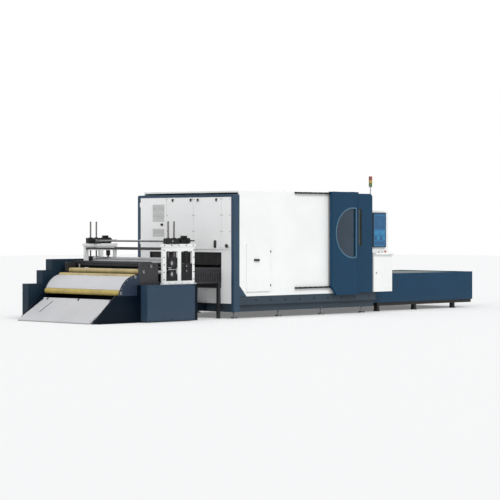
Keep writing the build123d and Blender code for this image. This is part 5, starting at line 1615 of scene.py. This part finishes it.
@dataclass
class Console(Assembly):
    """Operator console: display with plain fields, lamps, key switch and tower lenses.

    Attributes:
        neck_share: Share of the stop button's radius that its collar's bore has.
        fields: Finish and left, right, lower and upper edge of each field of the display, in
            shares of the pane.
    """

    lip: float = 0.001
    neck_share: float = 0.63
    margin: float = 0.016
    plate_rise: float = 0.0012
    door_width: float = 0.500
    door_face: float = 0.045
    door_top: float = 1.000
    lock_z: float = 0.72
    ribs: int = 9
    rib_pitch: float = 0.0055
    fields: tuple[tuple[Skin, float, float, float, float], ...] = (
        (Skin.SCREEN_DARK, 0.0, 1.0, 0.955, 1.0), (Skin.SCREEN_DARK, 0.05, 0.95, 0.52, 0.92),
        (Skin.SCREEN_PALE, 0.05, 0.46, 0.36, 0.48), (Skin.SCREEN_PALE, 0.54, 0.95, 0.36, 0.48),
    )
    key_left: float = 0.05
    key_width: float = 0.195
    key_pitch: float = 0.235

    def display(self) -> None:
        """Display pane and its plain coloured fields, without any text."""
        box = box_of("console_screen")
        x0, x1, z0, z1 = box.inner(self.margin)
        face, width, height = box.low.y + 0.002, x1 - x0, z1 - z0
        skin = face - self.plate_rise
        fields = list(self.fields)
        for column in range(4):
            left = self.key_left + column * self.key_pitch
            tone = Skin.SCREEN_PALE if column % 2 else Skin.SCREEN_DARK
            right = left + self.key_width
            fields += [(tone, left, right, 0.20, 0.31), (Skin.SCREEN_DARK, left, right, 0.05, 0.15)]
        pane = Shape("console_display", Skin.SCREEN_BLUE)
        pane.block((x0, face - 0.0006, z0), (x1, face + 0.001, z1))
        for tone, left, right, base, top in fields:
            pane.paint(tone).block((x0 + width * left, skin, z0 + height * base),
                                   (x0 + width * right, face, z0 + height * top))
        pane.piece()
        outline = Shape("console_part_outline", Skin.SCREEN_PALE)
        middle = (x0 + width * 0.5, skin - 0.0004, z0 + height * 0.72)
        outline.washer(middle, Axis.Y, 0.055, 0.059, 0.0008, 48)
        outline.washer(middle, Axis.Y, 0.020, 0.023, 0.0008, 32).piece()

    def controls(self) -> None:
        """Button collars, key switch and a row of small lamps on the shelf."""
        start, stop = box_of("start_button"), box_of("emergency_stop")
        (low, high), lip, y = box_of("console_cabinet"), self.lip, start.y
        shelf = box_of("console_cabinet", lambda point: point.y < low.y + lip).high.z
        collars = Shape("button_collars", Skin.SHAFT_STEEL)
        collars.washer((start.x, y, shelf), Axis.Z, start.radius + lip, start.radius + 5 * lip,
                       0.003, 36)
        collars.paint(Skin.LENS_AMBER).washer(
            (stop.x, y, shelf), Axis.Z, stop.radius * self.neck_share, stop.radius + 0.012,
            0.0022, 40,
        )
        x = (start.x + stop.x) / 2
        collars.paint(Skin.SHAFT_STEEL).rod((x, y, shelf), Axis.Z, 0.014, 0.008, 28, 0.002)
        collars.paint(Skin.PLASTIC).block((x - 0.002, y - 0.009, shelf + 0.008),
                                          (x + 0.002, y + 0.009, shelf + 0.020), 0.001).piece()
        lamps = Shape("shelf_lamps", Skin.LENS_RED)
        for index, x in enumerate(run(low.x + 0.06, high.x - 0.06, 8)):
            lamps.paint(Skin.LENS_RED if index % 4 else Skin.LENS_GREEN)
            lamps.rod((x, low.y + 0.016, shelf), Axis.Z, 0.0055, 0.003, 20, 0.001)
        lamps.piece()

    def doors(self) -> None:
        """Lower service door of the console with its lock, and screws on the side."""
        low, high = box_of("console_cabinet")
        x, y, z = high.x - self.door_width, low.y + self.door_face, self.lock_z
        door = Shape("console_door", Skin.WHITE_COAT)
        door.block((x + 0.030, y - 0.002, low.z + 0.05), (high.x - 0.030, y + 0.001, self.door_top),
                   0.001)
        door.paint(Skin.PLASTIC)
        door.rod((x + 0.065, y - 0.002, z), Axis.Y, 0.012, 0.008, 24, 0.002, -1.0)
        door.block((x + 0.062, y - 0.012, z - 0.020), (x + 0.068, y - 0.009, z + 0.020), 0.001)
        door.piece()
        side = grid(high.x, (y + 0.03, high.y - 0.03), run(low.z + 0.08, self.door_top + 0.02, 4))
        self.screws.field("console_side_screws", PANEL_SCREW, AHEAD, side)

    def tower(self) -> None:
        """Three coloured lenses with ribs, and the black rings between them."""
        box = box_of("signal_lenses")
        radius, third = box.radius, (box.high.z - box.low.z) / 3
        profile = [(0.0, radius - 0.003), (0.002, radius)]
        for rib in range(self.ribs):
            rise = rib * self.rib_pitch
            profile += [(0.006 + rise, radius - 0.0008), (0.0087 + rise, radius)]
        profile += [(third - 0.002, radius), (third, radius - 0.003)]
        tower = Shape("tower_lenses", Skin.LENS_GREEN)
        rings = Shape("tower_rings", Skin.PLASTIC)
        for index, skin in enumerate((Skin.LENS_GREEN, Skin.LENS_AMBER, Skin.LENS_RED)):
            base = box.low.z + index * third
            tower.paint(skin).turned((box.x, box.y, base), Axis.Z, profile, 32)
            if index:
                rings.washer((box.x, box.y, base - 0.002), Axis.Z, radius - 0.004, radius + 0.0008,
                             0.004, 36)
        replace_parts(tower.piece(), "signal_lenses")
        rings.piece()

    def build(self) -> None:
        """Adds the console's details."""
        self.display()
        self.controls()
        self.doors()
        self.tower()


@dataclass
class Conveyor(Assembly):
    """Outfeed conveyor: belt lacing, transfer lips, skirt screws and shaft collars."""

    lacing: float = 0.024
    lacing_share: float = 0.30
    lacing_rise: float = 0.0015
    lip: float = 0.006
    gap: float = 0.004
    inset: float = 0.028
    skirt_start: float = 0.40
    collar_shares: tuple[float, float] = (0.32, 0.55)

    def belt_lacing(self) -> None:
        """Plate lacing that joins the belt's ends, with its rivets."""
        low, high = box_of("conveyor_belt")
        x, top = low.x + (high.x - low.x) * self.lacing_share, high.z + self.lacing_rise
        y0, y1 = low.y + self.inset, high.y - self.inset
        plates = Shape("belt_lacing", Skin.SPINDLE_STEEL)
        places = []
        for start in (x - self.lacing, x + 0.002):
            end = start + self.lacing - 0.002
            plates.block((start, y0, high.z - 0.0005), (end, y1, top), 0.0006)
            ys = run(y0 + self.inset, y1 - self.inset, 26)
            places += grid(start + self.lacing / 2, ys, top)
        plates.rod((x, y0, high.z + 0.0005), Axis.Y, 0.0022, y1 - y0, 10).piece()
        rivet = Fastener(0.0035, 0.001, 0.0045, 12, Skin.ZINC, 0.0004)
        self.screws.field("lacing_rivets", rivet, UP, places)

    def lips(self) -> None:
        """Bent sheet lips that bridge the gaps before and after the belt."""
        low, high = box_of("conveyor_belt")
        first, last = box_of("conveyor_frame").low.x, box_of("conveyor_skirt").high.x
        top, gap = high.z - 3 * self.gap, self.gap
        lips = Shape("belt_lips", Skin.SHAFT_STEEL)
        for x0, x1 in ((first + gap, low.x - gap), (high.x + gap, last - gap)):
            lips.block((x0, low.y, top - self.lip), (x1, high.y, top), 0.0025)
        lips.piece()

    def skirt_screws(self) -> None:
        """Dark screws low on the skirts and lid screws along their turned-in lips."""
        box = box_of("conveyor_skirt")
        (low, high), inset = box, self.inset
        for side, y, way in box.sides(("near", "far")):
            xs = run(low.x + self.skirt_start, high.x - inset, 7)
            rows = grid(xs, y, (low.z + inset, high.z - inset))
            self.screws.field(f"skirt_{side}_screws", DARK_SCREW, (0.0, way, 0.0), rows)
            top = grid(run(low.x + 0.06, high.x - 0.06, 12), y - way * inset / 2, high.z)
            self.screws.field(f"skirt_{side}_lip_screws", DARK_SCREW, UP, top)

    def rollers(self) -> None:
        """Rubber collars on the shafts of the two belt rollers."""
        face = box_of("conveyor_belt").high.y + self.inset
        for node in ("tail_roller", "drive_roller"):
            box = box_of(node)
            inner, outer = (box.radius * share for share in self.collar_shares)
            collars = Shape(f"{node}_collars", Skin.BLACKENED)
            for y, way in ((box.low.y + box.high.y - face, -1.0), (face, 1.0)):
                collars.washer((box.x, y, box.z), Axis.Y, inner, outer, 0.006, 36, way)
            collars.piece(body_of(node))

    def build(self) -> None:
        """Adds the conveyor's details."""
        self.belt_lacing()
        self.lips()
        self.skirt_screws()
        self.rollers()


def write_sizes() -> None:
    """Puts the CAD box and the visual model's box in a dict, which is not kept."""
    boxes = {
        "cad": [list(corner) for corner in CAD_BOX],
        "visual": [list(corner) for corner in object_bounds()],
    }


def main() -> None:
    """Builds the studio and dresses the line."""
    logging.basicConfig(level=logging.INFO)
    Studio().build()
    for skin, nodes in NODE_SKINS.items():
        for node in nodes:
            dress_node(node, skin)
    screws = FastenerSetter()
    for kind in (Feeder, Infeed, EndWall, Housing, Chamber, Console, Conveyor):
        kind(screws).build()
        log.info("%s dressed", kind.__name__)
    write_sizes()


if __name__ == "__main__":
    main()
